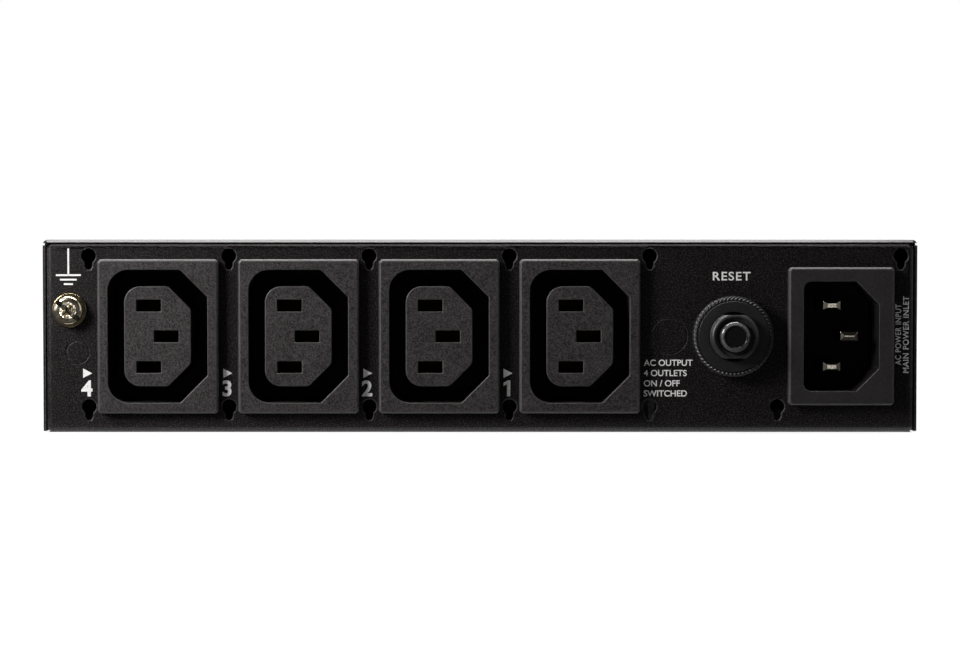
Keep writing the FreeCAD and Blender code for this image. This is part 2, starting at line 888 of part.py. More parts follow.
def top_cover():
    """U folded from one sheet: top and both sides, with vent slots, screw seats and bracket holes."""
    body = new_body("cover_blank")
    inner_left = left_side + size.cover_sheet
    inner_right = right_side - size.cover_sheet
    inner_top = case_height - size.cover_sheet
    profile = new_sketch(body, "XZ")
    draw_outline(
        profile,
        [
            (left_side, size.cover_lift),
            (inner_left, size.cover_lift),
            (inner_left, inner_top),
            (inner_right, inner_top),
            (inner_right, size.cover_lift),
            (right_side, size.cover_lift),
            (right_side, case_height),
            (left_side, case_height),
        ],
    )
    cover_end = front_face - size.cover_setback
    pad(body, profile, 2 * cover_end, both_ways=True)
    round_edges(body, size.cover_bend - size.cover_sheet, edges_at([(inner_left, inner_top), (inner_right, inner_top)]))
    round_edges(body, size.cover_bend, edges_at([(left_side, case_height), (right_side, case_height)]))

    def outer_top_edge(edge):
        middle = edge.BoundBox.Center
        straight = isinstance(edge.Curve, Part.Line)
        at_end = abs(abs(middle.y) - cover_end.value) < NEAR
        return straight and at_end and abs(middle.z - case_height.value) < NEAR

    bevel_edges(body, size.cover_edge_bevel, outer_top_edge)

    vents = new_sketch(body, "YZ")
    first_vent = rear_face + size.vent_rear
    vent_centre = (first_vent, middle_height + size.vent_rise)
    draw_bevelled_slot(vents, vent_centre, size.vent_width, size.vent_height, size.vent_corner)
    slot = body.newObject("PartDesign::Pocket", "vent_slot")
    slot.Profile = vents
    slot.Type = "ThroughAll"
    slot.Midplane = True
    row = body.newObject("PartDesign::LinearPattern", "vent_row")
    row.Originals = [slot]
    row.Direction = (vents, ["H_Axis"])
    bind(row, "Length", (VENT_SLOTS - 1) * size.vent_pitch)
    row.Occurrences = VENT_SLOTS
    body.Tip = row

    cutters = []
    inward = {"left": (left_side, "+x", 1), "right": (right_side, "-x", -1)}
    for side, (face, toward, sign) in inward.items():
        for number, along in enumerate(bracket_hole_places()):
            spot = (face - sign * OVERCUT, along, middle_height)
            through = size.cover_sheet + 2 * OVERCUT
            cutters.append(rod(f"bracket_hole_{side}_{number}", spot, toward, size.bracket_hole, through))
        for number, along in enumerate(cover_screw_places()):
            spot = (face, along, size.cover_screw_height)
            wide = size.cover_screw_head + size.countersink_fit
            narrow = wide - size.cover_sheet
            cutters.append(small_cone(f"screw_seat_{side}_{number}", spot, toward, wide, narrow, size.cover_sheet))
        first_x, last_x = (face - OVERCUT, face + size.cover_bend)
        if sign < 0:
            first_x, last_x = (face - size.cover_bend, face + OVERCUT)
        slit_top = case_height - size.cover_sheet
        slit_low = slit_top - size.corner_slit
        slit_in = rear_face + size.panel_return / 2
        cutters.append(box(f"cover_slit_{side}", (first_x, rear_face - OVERCUT, slit_low), (last_x, slit_in, slit_top)))
    return without("top_cover", body, cutters)


def cover_screws():
    """Countersunk screws, two on each side."""
    screws = []
    sides = {"left": (left_side, "+x", 1), "right": (right_side, "-x", -1)}
    for side, (face, toward, sign) in sides.items():
        for number, along in enumerate(cover_screw_places()):
            name = f"cover_screw_{side}_{number}"
            spot = (face + sign * size.cover_screw_sink, along, size.cover_screw_height)
            head_depth = size.cover_sheet - size.cover_screw_sink
            head_end = size.cover_screw_head - head_depth
            head = small_cone(name + "_head", spot, toward, size.cover_screw_head, head_end, head_depth)
            shank = hexagon(name + "_shank", spot, toward, size.cover_screw_radius, size.cover_screw_length)
            screws.append(joined(name, [head, shank]))
    return group("cover_screws", screws)


# Connectors of the outlet side


def plug_corners(width, height):
    """The two round corners on the left side of a connector's outline."""
    return [(-width / 2, -height / 2), (-width / 2, height / 2)]


def chamfer_ends(width, height, chamfer):
    """The four ends of the two cut-off corners on the right side."""
    right = width / 2
    high = height / 2
    return [
        (across, sign * up)
        for sign in (-1, 1)
        for across, up in ((right - chamfer, high), (right, high - chamfer))
    ]


def outlet(number):
    """One outlet moulding: flange, barrel, keyed groove round a core, three slots and two latches."""
    body = new_body(f"outlet_{number}", (outlet_x(number), outlet_face, middle_height))

    flange = new_sketch(body, "XZ")
    draw_rectangle(flange, (as_size(0), as_size(0)), outlet_flange_width, outlet_flange_height)
    pad(body, flange, size.outlet_flange, backwards=True)
    bevel_edges(body, size.flange_corner, runs_along_y)
    bevel_edges(body, size.flange_edge, lies_at_y(0))

    barrel = new_sketch(body, "XZ")
    barrel_chamfer = size.groove_chamfer + CHAMFER_GROWTH * size.outlet_wall
    draw_outline(barrel, plug_outline(outlet_width, outlet_height, barrel_chamfer))
    pad(body, barrel, outlet_depth, backwards=True)

    groove = new_sketch(body, "XZ")
    draw_outline(groove, plug_outline(groove_width, groove_height, size.groove_chamfer))
    draw_outline(groove, plug_outline(size.core_width, size.core_height, size.core_chamfer))
    pocket(body, groove, size.groove_depth)
    round_edges(body, size.groove_round, edges_at(plug_corners(groove_width, groove_height)))
    round_edges(body, size.core_round, edges_at(plug_corners(size.core_width, size.core_height)))
    core_ends = chamfer_ends(size.core_width, size.core_height, size.core_chamfer)
    round_edges(body, size.core_chamfer_round, edges_at(core_ends))
    bevel_edges(body, size.barrel_bevel, edges_at(plug_corners(outlet_width, outlet_height)))

    slots = new_sketch(body, "XZ")
    for spot in POLES.values():
        draw_rectangle(slots, spot, size.slot_width, size.slot_height)
    pocket(body, slots, size.slot_lip)

    chambers = new_sketch(body, "XZ", -outlet_depth)
    for spot in POLES.values():
        draw_rectangle(chambers, spot, size.chamber_width, size.chamber_height)
    pocket(body, chambers, outlet_depth - size.slot_lip, forwards=True)

    latch_front = size.outlet_flange + size.tray_sheet + size.panel_fit
    latches = new_sketch(body, "YZ")
    for sign in (-1, 1):
        root = sign * (outlet_height / 2 - size.outlet_wall / 2)
        tip = sign * (outlet_height / 2 + size.latch_height)
        end = latch_front + size.latch_length
        draw_outline(latches, [(latch_front, root), (latch_front, tip), (end, root)])
    pad(body, latches, size.latch_width, both_ways=True)
    return body


def outlet_contact(number, pole):
    """One female contact: a strip folded to two leaves, with a tail through the upright board."""
    across, up = POLES[pole]
    centre_x = outlet_x(number) + across
    centre_z = middle_height + up
    name = f"outlet_{number}_{pole}_contact"
    half_width = size.chamber_width / 2 - size.contact_fit
    half_height = size.chamber_height / 2 - size.contact_fit
    front = outlet_face + size.slot_lip + size.contact_fit
    rear = outlet_face + outlet_depth - size.contact_rear
    strip = size.contact_sheet
    low = (centre_x - half_width, front, centre_z - half_height)
    high = (centre_x + half_width, rear, centre_z + half_height)
    blank = box(name + "_blank", low, high)
    mouth_low = (centre_x - half_width + strip, front - OVERCUT, centre_z - half_height + strip)
    mouth_high = (centre_x + half_width + OVERCUT, rear - strip, centre_z + half_height - strip)
    mouth = box(name + "_mouth", mouth_low, mouth_high)
    folded = without(name + "_folded", blank, [mouth])
    half_tail = size.contact_tail / 2
    tail_low = (centre_x - half_tail, rear - strip, centre_z - strip / 2)
    tail_high = (centre_x + half_tail, upright_board_front + size.tail_proud, centre_z + strip / 2)
    tail = box(name + "_tail", tail_low, tail_high)
    return joined(name, [folded, tail])


def inlet_housing():
    """Inlet moulding: flange, barrel with a keyed cavity, and three blade slots in its floor."""
    body = new_body("inlet_housing", (inlet_x, inlet_face, middle_height))

    flange = new_sketch(body, "XZ")
    draw_rectangle(flange, (as_size(0), as_size(0)), inlet_flange_width, inlet_flange_height)
    pad(body, flange, size.inlet_flange, backwards=True)
    bevel_edges(body, size.flange_corner, runs_along_y)
    bevel_edges(body, size.flange_edge, lies_at_y(0))

    barrel = new_sketch(body, "XZ")
    barrel_chamfer = size.cavity_chamfer + CHAMFER_GROWTH * size.inlet_wall
    draw_outline(barrel, plug_outline(inlet_width, inlet_height, barrel_chamfer))
    pad(body, barrel, inlet_depth, backwards=True)

    cavity = new_sketch(body, "XZ")
    draw_outline(cavity, plug_outline(size.cavity_width, size.cavity_height, size.cavity_chamfer))
    pocket(body, cavity, size.cavity_depth)
    round_edges(body, size.cavity_round, edges_at(plug_corners(size.cavity_width, size.cavity_height)))

    slots = new_sketch(body, "XZ")
    for spot in POLES.values():
        slot_width = size.blade_width + 2 * size.blade_fit
        slot_height = size.blade_thickness + 2 * size.blade_fit
        draw_rectangle(slots, spot, slot_width, slot_height)
    pocket(body, slots, inlet_depth + OVERCUT)

    latch_front = size.inlet_flange + size.tray_sheet + size.panel_fit
    latches = new_sketch(body, "YZ")
    for sign in (-1, 1):
        root = sign * (inlet_height / 2 - size.inlet_wall / 2)
        tip = sign * (inlet_height / 2 + size.latch_height)
        end = latch_front + size.latch_length
        draw_outline(latches, [(latch_front, root), (latch_front, tip), (end, root)])
    pad(body, latches, size.latch_width, both_ways=True)
    return body


def inlet_pin(pole):
    """One inlet blade with a bevelled tip and a flat tab behind the floor."""
    across, up = POLES[pole]
    body = new_body(f"inlet_{pole}_pin", (inlet_x + across, inlet_face, middle_height + up))
    blade = new_sketch(body, "XZ", -size.blade_recess)
    draw_rectangle(blade, (as_size(0), as_size(0)), size.blade_width, size.blade_thickness)
    pad(body, blade, inlet_depth - size.blade_recess, backwards=True)
    bevel_edges(body, size.blade_bevel, lies_at_y(size.blade_recess))
    tab = new_sketch(body, "XZ", -inlet_depth)
    draw_rectangle(tab, (as_size(0), as_size(0)), size.tab_width, size.tab_thickness)
    pad(body, tab, size.tab_length, backwards=True)
    return body


# Breaker. Along Y its places count from the outer face of the panel.

shoulder_radius = size.button_radius + size.shoulder_step
button_face = -(size.neck_length + size.button_proud)
shoulder_front = size.button_stop + size.button_travel
shoulder_rear = shoulder_front + size.shoulder_length
button_bore = size.button_radius + size.button_fit
shoulder_bore = shoulder_radius + size.button_fit


def breaker_body():
    """Breaker moulding: a block behind the panel and a flattened neck with the button's bore."""
    across, along, up = (breaker_x, rear_face, middle_height)
    half_width = size.breaker_width / 2
    half_height = size.breaker_height / 2
    block = bevelled_block(
        "breaker_block",
        (across - half_width, along + size.tray_sheet, up - half_height),
        (across + half_width, along + size.tray_sheet + size.breaker_depth, up + half_height),
        size.breaker_bevel,
    )
    neck_start = (across, along - size.neck_length, up)
    neck_depth = size.neck_length + size.tray_sheet + size.breaker_bevel
    neck_round = rod("neck_round", neck_start, "+y", size.neck_radius, neck_depth)
    half_flats = size.neck_flats / 2
    neck_flats = box(
        "neck_flats",
        (across - 2 * size.neck_radius, along - size.neck_length, up - half_flats),
        (across + 2 * size.neck_radius, along - size.neck_length + neck_depth, up + half_flats),
    )
    neck = shared("neck", neck_round, neck_flats)
    bore_start = (across, along - size.neck_length - OVERCUT, up)
    bore_length = size.neck_length + OVERCUT + shoulder_rear + size.button_stop
    bore = rod("button_bore", bore_start, "+y", button_bore, bore_length)
    mouth = rod("neck_mouth", bore_start, "+y", size.mouth_radius, size.mouth_depth + OVERCUT)
    chamber = rod("shoulder_chamber", (across, along, up), "+y", shoulder_bore, shoulder_rear + size.button_stop)
    return without("breaker_body", joined("breaker_blank", [block, neck]), [bore, mouth, chamber])


def breaker_nut():
    """Round nut with a knurled skirt, its ridges side by side, and a stepped face."""
    body = new_body("breaker_nut", (breaker_x, rear_face, middle_height))
    bore = size.neck_radius + size.thread_fit
    face_radius = size.nut_radius - size.nut_step
    valley = size.nut_radius - size.knurl_depth
    revolve(
        body,
        [
            (bore, as_size(0)),
            (valley - size.knurl_depth, as_size(0)),
            (valley - size.knurl_depth, -size.nut_skirt),
            (face_radius, -size.nut_skirt),
            (face_radius, size.nut_bevel - size.nut_height),
            (face_radius - size.nut_bevel, -size.nut_height),
            (bore, -size.nut_height),
        ],
    )
    doc.recompute()
    tooth = new_sketch(body, "XZ")
    half_pitch = math.tan(math.pi / KNURL_TEETH) * valley
    half_foot = half_pitch * (size.nut_radius.value - face_radius.value) / size.knurl_depth.value
    draw_outline(
        tooth,
        [
            (face_radius, -half_foot),
            (size.nut_radius, as_size(0)),
            (face_radius, half_foot),
        ],
    )
    ridge = pad(body, tooth, size.nut_skirt)
    knurl = body.newObject("PartDesign::PolarPattern", "knurl")
    knurl.Originals = [ridge]
    knurl.Axis = (tooth, ["N_Axis"])
    knurl.Angle = 360
    knurl.Occurrences = KNURL_TEETH
    body.Tip = knurl
    return body


def reset_button():
    """Turned push button with a bevelled face and a shoulder that keeps it in the neck."""
    body = new_body("reset_button", (breaker_x, rear_face, middle_height))
    revolve(
        body,
        [
            (as_size(0), button_face),
            (size.button_radius - size.button_bevel, button_face),
            (size.button_radius, button_face + size.button_bevel),
            (size.button_radius, shoulder_front),
            (shoulder_radius, shoulder_front),
            (shoulder_radius, shoulder_rear),
            (as_size(0), shoulder_rear),
        ],
    )
    return body


def breaker_tab(name, up):
    """One blade tab on the breaker's rear."""
    half_width = size.tab_width / 2
    half_thickness = size.tab_thickness / 2
    low = (breaker_x - half_width, breaker_rear, up - half_thickness)
    high = (breaker_x + half_width, breaker_tab_end, up + half_thickness)
    return box(name, low, high)


# Bonding screw. Along Y its places count from the outer face of the panel.

SLOT_TURN = Rotation(Vector(0, 1, 0), 40)


def ground_screw():
    """Pan head screw with a slot."""
    body = new_body("ground_screw_head", (ground_x, rear_face, ground_z), SLOT_TURN)
    head_rear = -size.washer_thickness
    head_face = head_rear - size.ground_head_height
    revolve(
        body,
        [
            (as_size(0), head_face),
            (size.ground_crown_radius, head_face),
            (size.ground_head_radius, head_face + size.ground_crown_drop),
            (size.ground_head_radius, head_rear),
            (as_size(0), head_rear),
        ],
    )
    slot = new_sketch(body, "XZ", -head_face)
    draw_rectangle(slot, (as_size(0), as_size(0)), 2 * size.ground_head_radius + OVERCUT, size.ground_slot)
    pocket(body, slot, size.ground_recess)
    seat = (ground_x, rear_face - size.washer_thickness, ground_z)
    reach = size.washer_thickness + size.ground_length
    shank = hexagon("ground_screw_shank", seat, "+y", size.ground_thread, reach)
    return joined("ground_screw", [body, shank])


def ground_washer():
    """Split spring washer under the bonding screw."""
    spot = (ground_x, rear_face - size.washer_thickness, ground_z)
    disc = small_rod("washer_disc", spot, "+y", size.washer_radius, size.washer_thickness)
    hole_radius = size.ground_thread + size.screw_hole_fit
    hole = hexagon("washer_hole", spot, "+y", hole_radius, size.washer_thickness)
    half_split = size.washer_split / 2
    split = box(
        "washer_gap",
        (ground_x - half_split, rear_face - size.washer_thickness, ground_z - size.washer_radius),
        (ground_x + half_split, rear_face, ground_z),
    )
    return without("ground_washer", disc, [hole, split])


def ground_nut():
    """Clinch nut behind the bonding screw."""
    spot = (ground_x, rear_face + size.tray_sheet, ground_z)
    blank = hexagon("ground_nut_blank", spot, "+y", size.ground_nut_radius, size.ground_nut_height)
    bore = hexagon("ground_nut_bore", spot, "+y", size.ground_thread + size.thread_fit, size.ground_nut_height)
    return without("ground_nut", blank, [bore])


# Boards and what they carry


def outlet_board():
    """Upright circuit board with a slot for each contact tail."""
    low = (outlet_row_left, upright_board_rear, size.tray_sheet + size.board_edge)
    high = (outlet_row_right, upright_board_front, tray_top - size.tray_sheet - size.board_edge)
    board = box("outlet_board_blank", low, high)
    holes = []
    half_width = size.contact_tail / 2 + size.board_hole_fit
    half_height = size.contact_sheet / 2 + size.board_hole_fit
    for number in range(1, OUTLETS + 1):
        for pole, (across, up) in POLES.items():
            x = outlet_x(number) + across
            z = middle_height + up
            hole_low = (x - half_width, upright_board_rear - OVERCUT, z - half_height)
            hole_high = (x + half_width, upright_board_front + OVERCUT, z + half_height)
            holes.append(box(f"tail_hole_{number}_{pole}", hole_low, hole_high))
    return without("outlet_board", board, holes)


def relay_left(number):
    """The side of a relay that stands beside its outlet's contact tails."""
    return outlet_x(number) + size.pole_shift + size.contact_tail / 2 + size.tail_proud


def relay(number):
    """Sealed switching relay on the inner side of the upright board."""
    across = relay_left(number)
    low_z = board_top + size.relay_rise
    low = (across, upright_board_front, low_z)
    high = (across + size.relay_width, upright_board_front + size.relay_depth, low_z + size.relay_height)
    return bevelled_block(f"relay_{number}", low, high, size.relay_bevel)


def board_support_spots():
    """Where the main board stands on its posts."""
    inset = size.standoff_inset
    left = board_left + inset
    return [
        (left, board_rear + inset),
        (board_step_x - inset, board_rear + inset),
        (left, board_front - inset),
        (board_right - inset, board_front - inset),
    ]


def main_board():
    """Flat circuit board with a step that leaves room for the breaker and the inlet."""
    body = new_body("main_board_blank", (0, 0, board_bottom))
    outline = new_sketch(body, "XY")
    draw_outline(
        outline,
        [
            (board_left, board_rear),
            (board_step_x, board_rear),
            (board_step_x, board_step_y),
            (board_right, board_step_y),
            (board_right, board_front),
            (board_left, board_front),
        ],
    )
    pad(body, outline, size.board_thickness)
    radius = size.board_screw_radius + size.board_hole_fit
    holes = [
        hexagon(f"board_hole_{n}", (x, y, board_bottom - OVERCUT), "+z", radius, size.board_thickness + 2 * OVERCUT)
        for n, (x, y) in enumerate(board_support_spots())
    ]
    return without("main_board", body, holes)


def board_standoffs():
    """Six-sided posts under the main board."""
    posts = []
    for number, (x, y) in enumerate(board_support_spots()):
        foot = (x, y, size.tray_sheet)
        post = hexagon(f"standoff_hex_{number}", foot, "+z", size.standoff_radius, size.standoff_height)
        bore_radius = size.board_screw_radius + size.thread_fit
        bore = hexagon(f"standoff_bore_{number}", foot, "+z", bore_radius, size.standoff_height)
        posts.append(without(f"standoff_{number}", post, [bore]))
    return group("board_standoffs", posts)


def board_screws():
    """Six-sided screws through the main board into its posts."""
    screws = []
    for number, (x, y) in enumerate(board_support_spots()):
        seat = (x, y, board_top)
        head = hexagon(f"board_screw_head_{number}", seat, "+z", size.board_screw_head, size.board_screw_rise)
        reach = size.board_thickness + size.board_screw_reach
        foot = board_top - reach
        overlap = reach + size.board_screw_rise / 2
        shank = hexagon(f"board_screw_shank_{number}", (x, y, foot), "+z", size.board_screw_radius, overlap)
        screws.append(joined(f"board_screw_{number}", [head, shank]))
    return group("board_screws", screws)


def insulating_sheet():
    """Film on the tray's bottom under the main board, with holes for the posts."""
    low = (board_left, board_rear, size.tray_sheet)
    high = (board_step_x, board_front, size.tray_sheet + size.film_thickness)
    film = box("film_blank", low, high)
    radius = size.standoff_radius + size.film_fit
    spot_z = size.tray_sheet - OVERCUT
    through = size.film_thickness + 2 * OVERCUT
    holes = [
        hexagon(f"film_hole_{n}", (x, y, spot_z), "+z", radius, through)
        for n, (x, y) in enumerate(board_support_spots())
    ]
    return without("insulating_sheet", film, holes)


supply_x = board_left + size.supply_inset + size.supply_length / 2
supply_y = board_front - size.supply_front
terminal_x = load_entry_x + size.terminal_pitch / 2
terminal_y = terminal_rear + size.terminal_depth / 2


def supply_module():
    """Potted supply block."""
    low, high = both_corners(
        (supply_x, supply_y), board_top, size.supply_length, size.supply_width, size.supply_height
    )
    return bevelled_block("supply_module", low, high, size.part_bevel)


def bulk_capacitor():
    """Electrolytic can, drawn with twelve sides."""
    can = doc.addObject("Part::Prism", "bulk_capacitor")
    can.Polygon = 12
    bind(can, "Circumradius", size.capacitor_radius)
    bind(can, "Height", size.capacitor_height)
    place(can, (supply_x + size.supply_length / 2 + size.capacitor_gap, supply_y, board_top))
    return can


def current_sensor():
    """Sealed current sensor in front of the terminal block."""
    along = terminal_rear + size.terminal_depth + size.sensor_gap + size.sensor_width / 2
    low, high = both_corners(
        (terminal_x, along), board_top, size.sensor_length, size.sensor_width, size.sensor_height
    )
    return bevelled_block("current_sensor", low, high, size.part_bevel)


def terminal_block():
    """Two-pole wire terminal with its entries towards the breaker."""
    low, high = both_corners(
        (terminal_x, terminal_y), board_top, size.terminal_width, size.terminal_depth, size.terminal_height
    )
    block = bevelled_block("terminal_blank", low, high, size.part_bevel)
    half_entry = size.wire_radius + size.boot_fit
    entries = []
    for number, across in enumerate((load_entry_x, neutral_entry_x)):
        entry_low = (across - half_entry, terminal_rear - OVERCUT, load_tab_z - half_entry)
        entry_high = (across + half_entry, terminal_y, load_tab_z + half_entry)
        entries.append(box(f"entry_{number}", entry_low, entry_high))
    return without("terminal_block", block, entries)


def controller_chip():
    """Flat controller package."""
    spot = (board_right - size.jack_inset, board_front - size.chip_front)
    low, high = both_corners(spot, board_top, size.chip_width, size.chip_width, size.chip_height)
    return box("controller_chip", low, high)


def board_header():
    """Right-angled header that joins the two boards."""
    right = relay_left(2) - size.header_gap
    low = (right - size.header_length, upright_board_front, board_top)
    high = (right, upright_board_front + size.header_width, board_top + size.header_height)
    return box("board_header", low, high)


# Front side


def lan_jack():
    """Jack moulding with the stepped mouth of a network socket."""
    body = new_body("lan_jack", (jack_x, front_face + size.jack_proud, board_top))
    block = new_sketch(body, "XZ")
    draw_rectangle(block, (as_size(0), size.jack_height / 2), size.jack_width, size.jack_height)
    pad(body, block, size.jack_depth)
    roof = size.jack_height - size.jack_mouth_top
    step = roof - size.jack_mouth_height
    floor = step - size.jack_key_height
    half_mouth = size.jack_mouth_width / 2
    half_key = size.jack_key_width / 2
    mouth = new_sketch(body, "XZ")
    draw_outline(
        mouth,
        [
            (-half_key, floor),
            (half_key, floor),
            (half_key, step),
            (half_mouth, step),
            (half_mouth, roof),
            (-half_mouth, roof),
            (-half_mouth, step),
            (-half_key, step),
        ],
    )
    pocket(body, mouth, size.jack_mouth_depth, forwards=True)
    return body


def lan_contacts():
    """Contact wires along the roof of the jack's mouth."""
    wires = []
    rear = front_face + size.jack_proud - size.jack_mouth_depth
    top = board_top + size.jack_height - size.jack_mouth_top - size.jack_wire_drop
    half_wire = size.jack_wire / 2
    for number in range(JACK_WIRES):
        across = jack_x + (number - (JACK_WIRES - 1) / 2) * size.jack_wire_pitch
        low = (across - half_wire, rear, top - size.jack_wire)
        high = (across + half_wire, rear + size.jack_wire_length, top)
        wires.append(box(f"jack_wire_{number}", low, high))
    return group("lan_contacts", wires)


pipe_y = front_face - size.tray_sheet - size.pipe_setback


def light_pipe():
    """Clear moulding: an upright light guide with a lens for each indicator, joined by a rail."""
    half_pipe = size.pipe_width / 2
    half_lens = size.lens_width / 2
    half_rise = size.lens_height / 2
    foot = board_top + size.led_height + size.led_gap
    head = lens_z + half_rise + size.pipe_head
    tip = front_face + size.lens_proud
    pieces = []
    for number in range(INDICATORS):
        across = first_lens_x + number * size.lens_pitch
        low = (across - half_pipe, pipe_y - half_pipe, foot)
        pieces.append(box(f"pipe_post_{number}", low, (across + half_pipe, pipe_y + half_pipe, head)))
        lens_low = (across - half_lens, pipe_y, lens_z - half_rise)
        lens_high = (across + half_lens, tip, lens_z + half_rise)
        pieces.append(bevelled_block(f"lens_{number}", lens_low, lens_high, size.lens_bevel))
    last = first_lens_x + (INDICATORS - 1) * size.lens_pitch
    rail_low = (first_lens_x, pipe_y - half_pipe, head - size.rail_height)
    pieces.append(box("pipe_rail", rail_low, (last, pipe_y, head)))
    return joined("light_pipe", pieces)


def status_leds():
    """Surface lamps under the feet of the light pipe."""
    lamps = []
    for number in range(INDICATORS):
        spot = (first_lens_x + number * size.lens_pitch, pipe_y)
        low, high = both_corners(spot, board_top, size.pipe_width, size.pipe_width, size.led_height)
        lamps.append(box(f"led_{number}", low, high))
    return group("status_leds", lamps)


# Wiring


def wire_path(points, bend):
    """Straight runs through the points, with each corner cut short by one slanting run."""
    corners = [points[0]]
    for before, corner, after in zip(points, points[1:], points[2:]):
        into = (corner - before).normalize()
        out = (after - corner).normalize()
        setback = bend * math.tan(into.getAngle(out) / 2)
        corners += [corner - into * setback, corner + out * setback]
    return Part.makePolygon(corners + points[-1:])


def flat_sided_outline(centre, facing, radius, sides):
    """A closed outline of equal sides about a centre, square to a direction."""
    turn = Rotation(Vector(0, 0, 1), facing)
    corners = []
    for step in range(sides + 1):
        angle = 2 * math.pi * step / sides
        spoke = Vector(math.cos(angle), math.sin(angle), 0) * radius
        corners.append(centre + turn.multVec(spoke))
    return Part.makePolygon(corners)


def tube(points):
    """Insulated wire of six-sided section along a path."""
    path = wire_path(points, size.wire_bend.value)
    section = flat_sided_outline(points[0], points[1] - points[0], size.wire_radius.value, WIRE_SIDES)
    return path.makePipeShell([section], True, False, MITRED)


def boot(across, tab_end, up):
    """Insulated receptacle pushed on a blade tab that points along +Y, and the place where its wire leaves."""
    half_width = (size.tab_width / 2 + size.boot_fit + size.boot_wall).value
    half_height = (size.tab_thickness / 2 + size.boot_fit + 2 * size.boot_wall).value
    front = (tab_end - size.boot_grip).value
    length = size.boot_length.value
    corner = Vector(across.value - half_width, front, up.value - half_height)
    sleeve = Part.makeBox(2 * half_width, length, 2 * half_height, corner)
    slot_width = (size.tab_width + 2 * size.boot_fit).value
    slot_height = (size.tab_thickness + 2 * size.boot_fit).value
    slot_corner = Vector(across.value - slot_width / 2, front, up.value - slot_height / 2)
    slot_length = (size.boot_grip + size.boot_fit).value
    slot = Part.makeBox(slot_width, slot_length, slot_height, slot_corner)
    return sleeve.cut(slot), Vector(across.value, front + length, up.value)


def wire_part(name, pieces):
    """A wire with the terminals crimped on it, as one sub-part."""
    thing = doc.addObject("Part::Feature", name)
    thing.Shape = pieces[0].fuse(pieces[1:]).removeSplitter()
    return thing


def line_wire():
    """Inlet line tab to the breaker's upper tab."""
    across, up = POLES["line"]
    inlet_boot, start = boot(inlet_x + across, inlet_tab_end, middle_height + up)
    breaker_boot, end = boot(breaker_x, breaker_tab_end, line_tab_z)
    far = max(start.y, end.y) + size.wire_reach.value
    points = [start, Vector(start.x, far, start.z), Vector(end.x, far, end.z), end]
    return wire_part("line_wire", [tube(points), inlet_boot, breaker_boot])


def entry_wire(name, first_boot, start, entry_x):
    """A wire from a boot to one entry of the terminal block."""
    end = Vector(entry_x.value, (terminal_rear + size.terminal_depth / 4).value, load_tab_z.value)
    first_corner = start + Vector(0, size.wire_bend.value, 0)
    last_corner = Vector(end.x, terminal_rear.value - size.wire_bend.value, end.z)
    return wire_part(name, [tube([start, first_corner, last_corner, end]), first_boot])


def load_wire():
    """Breaker's lower tab to the terminal block."""
    first_boot, start = boot(breaker_x, breaker_tab_end, load_tab_z)
    return entry_wire("load_wire", first_boot, start, load_entry_x)


def neutral_wire():
    """Inlet neutral tab to the terminal block."""
    across, up = POLES["neutral"]
    first_boot, start = boot(inlet_x + across, inlet_tab_end, middle_height + up)
    return entry_wire("neutral_wire", first_boot, start, neutral_entry_x)


def earth_wire():
    """Inlet earth tab down to the inner earth stud, ending in a ring."""
    across, up = POLES["earth"]
    first_boot, start = boot(inlet_x + across, inlet_tab_end, middle_height + up)
    floor = size.tray_sheet.value
    radius = size.wire_radius.value
    ring_sheet = size.ring_sheet.value
    stud = Vector(earth_stud_x.value, earth_stud_y.value, floor)
    low = floor + radius + ring_sheet / 4
    drop_y = start.y + 2 * size.wire_bend.value
    end = Vector(stud.x, stud.y - size.ring_radius.value - radius, low)
    points = [start, Vector(start.x, drop_y, start.z), Vector(stud.x, drop_y, low), end]
    upward = Vector(0, 0, 1)
    ring_outline = flat_sided_outline(stud, upward, size.ring_radius.value, SMALL_ROUND_SIDES)
    ring = Part.Face(ring_outline).extrude(upward * ring_sheet)
    tongue = Part.makeBox(
        2 * radius, size.ring_radius.value + 2 * radius, ring_sheet, Vector(stud.x - radius, end.y - radius, floor)
    )
    hole_outline = flat_sided_outline(stud, upward, (size.stud_radius + size.thread_fit).value, WIRE_SIDES)
    hole = Part.Face(hole_outline).extrude(upward * ring_sheet)
    lug = ring.fuse(tongue).cut(hole)
    return wire_part("earth_wire", [tube(points), first_boot, lug])


def earth_stud():
    """Press stud with its flush six-sided head in the tray's bottom."""
    head_spot = (earth_stud_x, earth_stud_y, size.stud_sink)
    head = hexagon("stud_head", head_spot, "+z", size.stud_head, size.tray_sheet - size.stud_sink)
    shank = hexagon("stud_shank", head_spot, "+z", size.stud_radius, size.stud_height)
    return joined("earth_stud", [head, shank])


def earth_nut():
    """Nut on the ring of the earth wire."""
    base = size.tray_sheet + size.ring_sheet
    seat = (earth_stud_x, earth_stud_y, base)
    blank = hexagon("earth_nut_blank", seat, "+z", size.earth_nut_radius, size.earth_nut_height)
    bore_radius = size.stud_radius + size.thread_fit
    bore = hexagon("earth_nut_bore", seat, "+z", bore_radius, size.earth_nut_height)
    return without("earth_nut", blank, [bore])


# Assembly

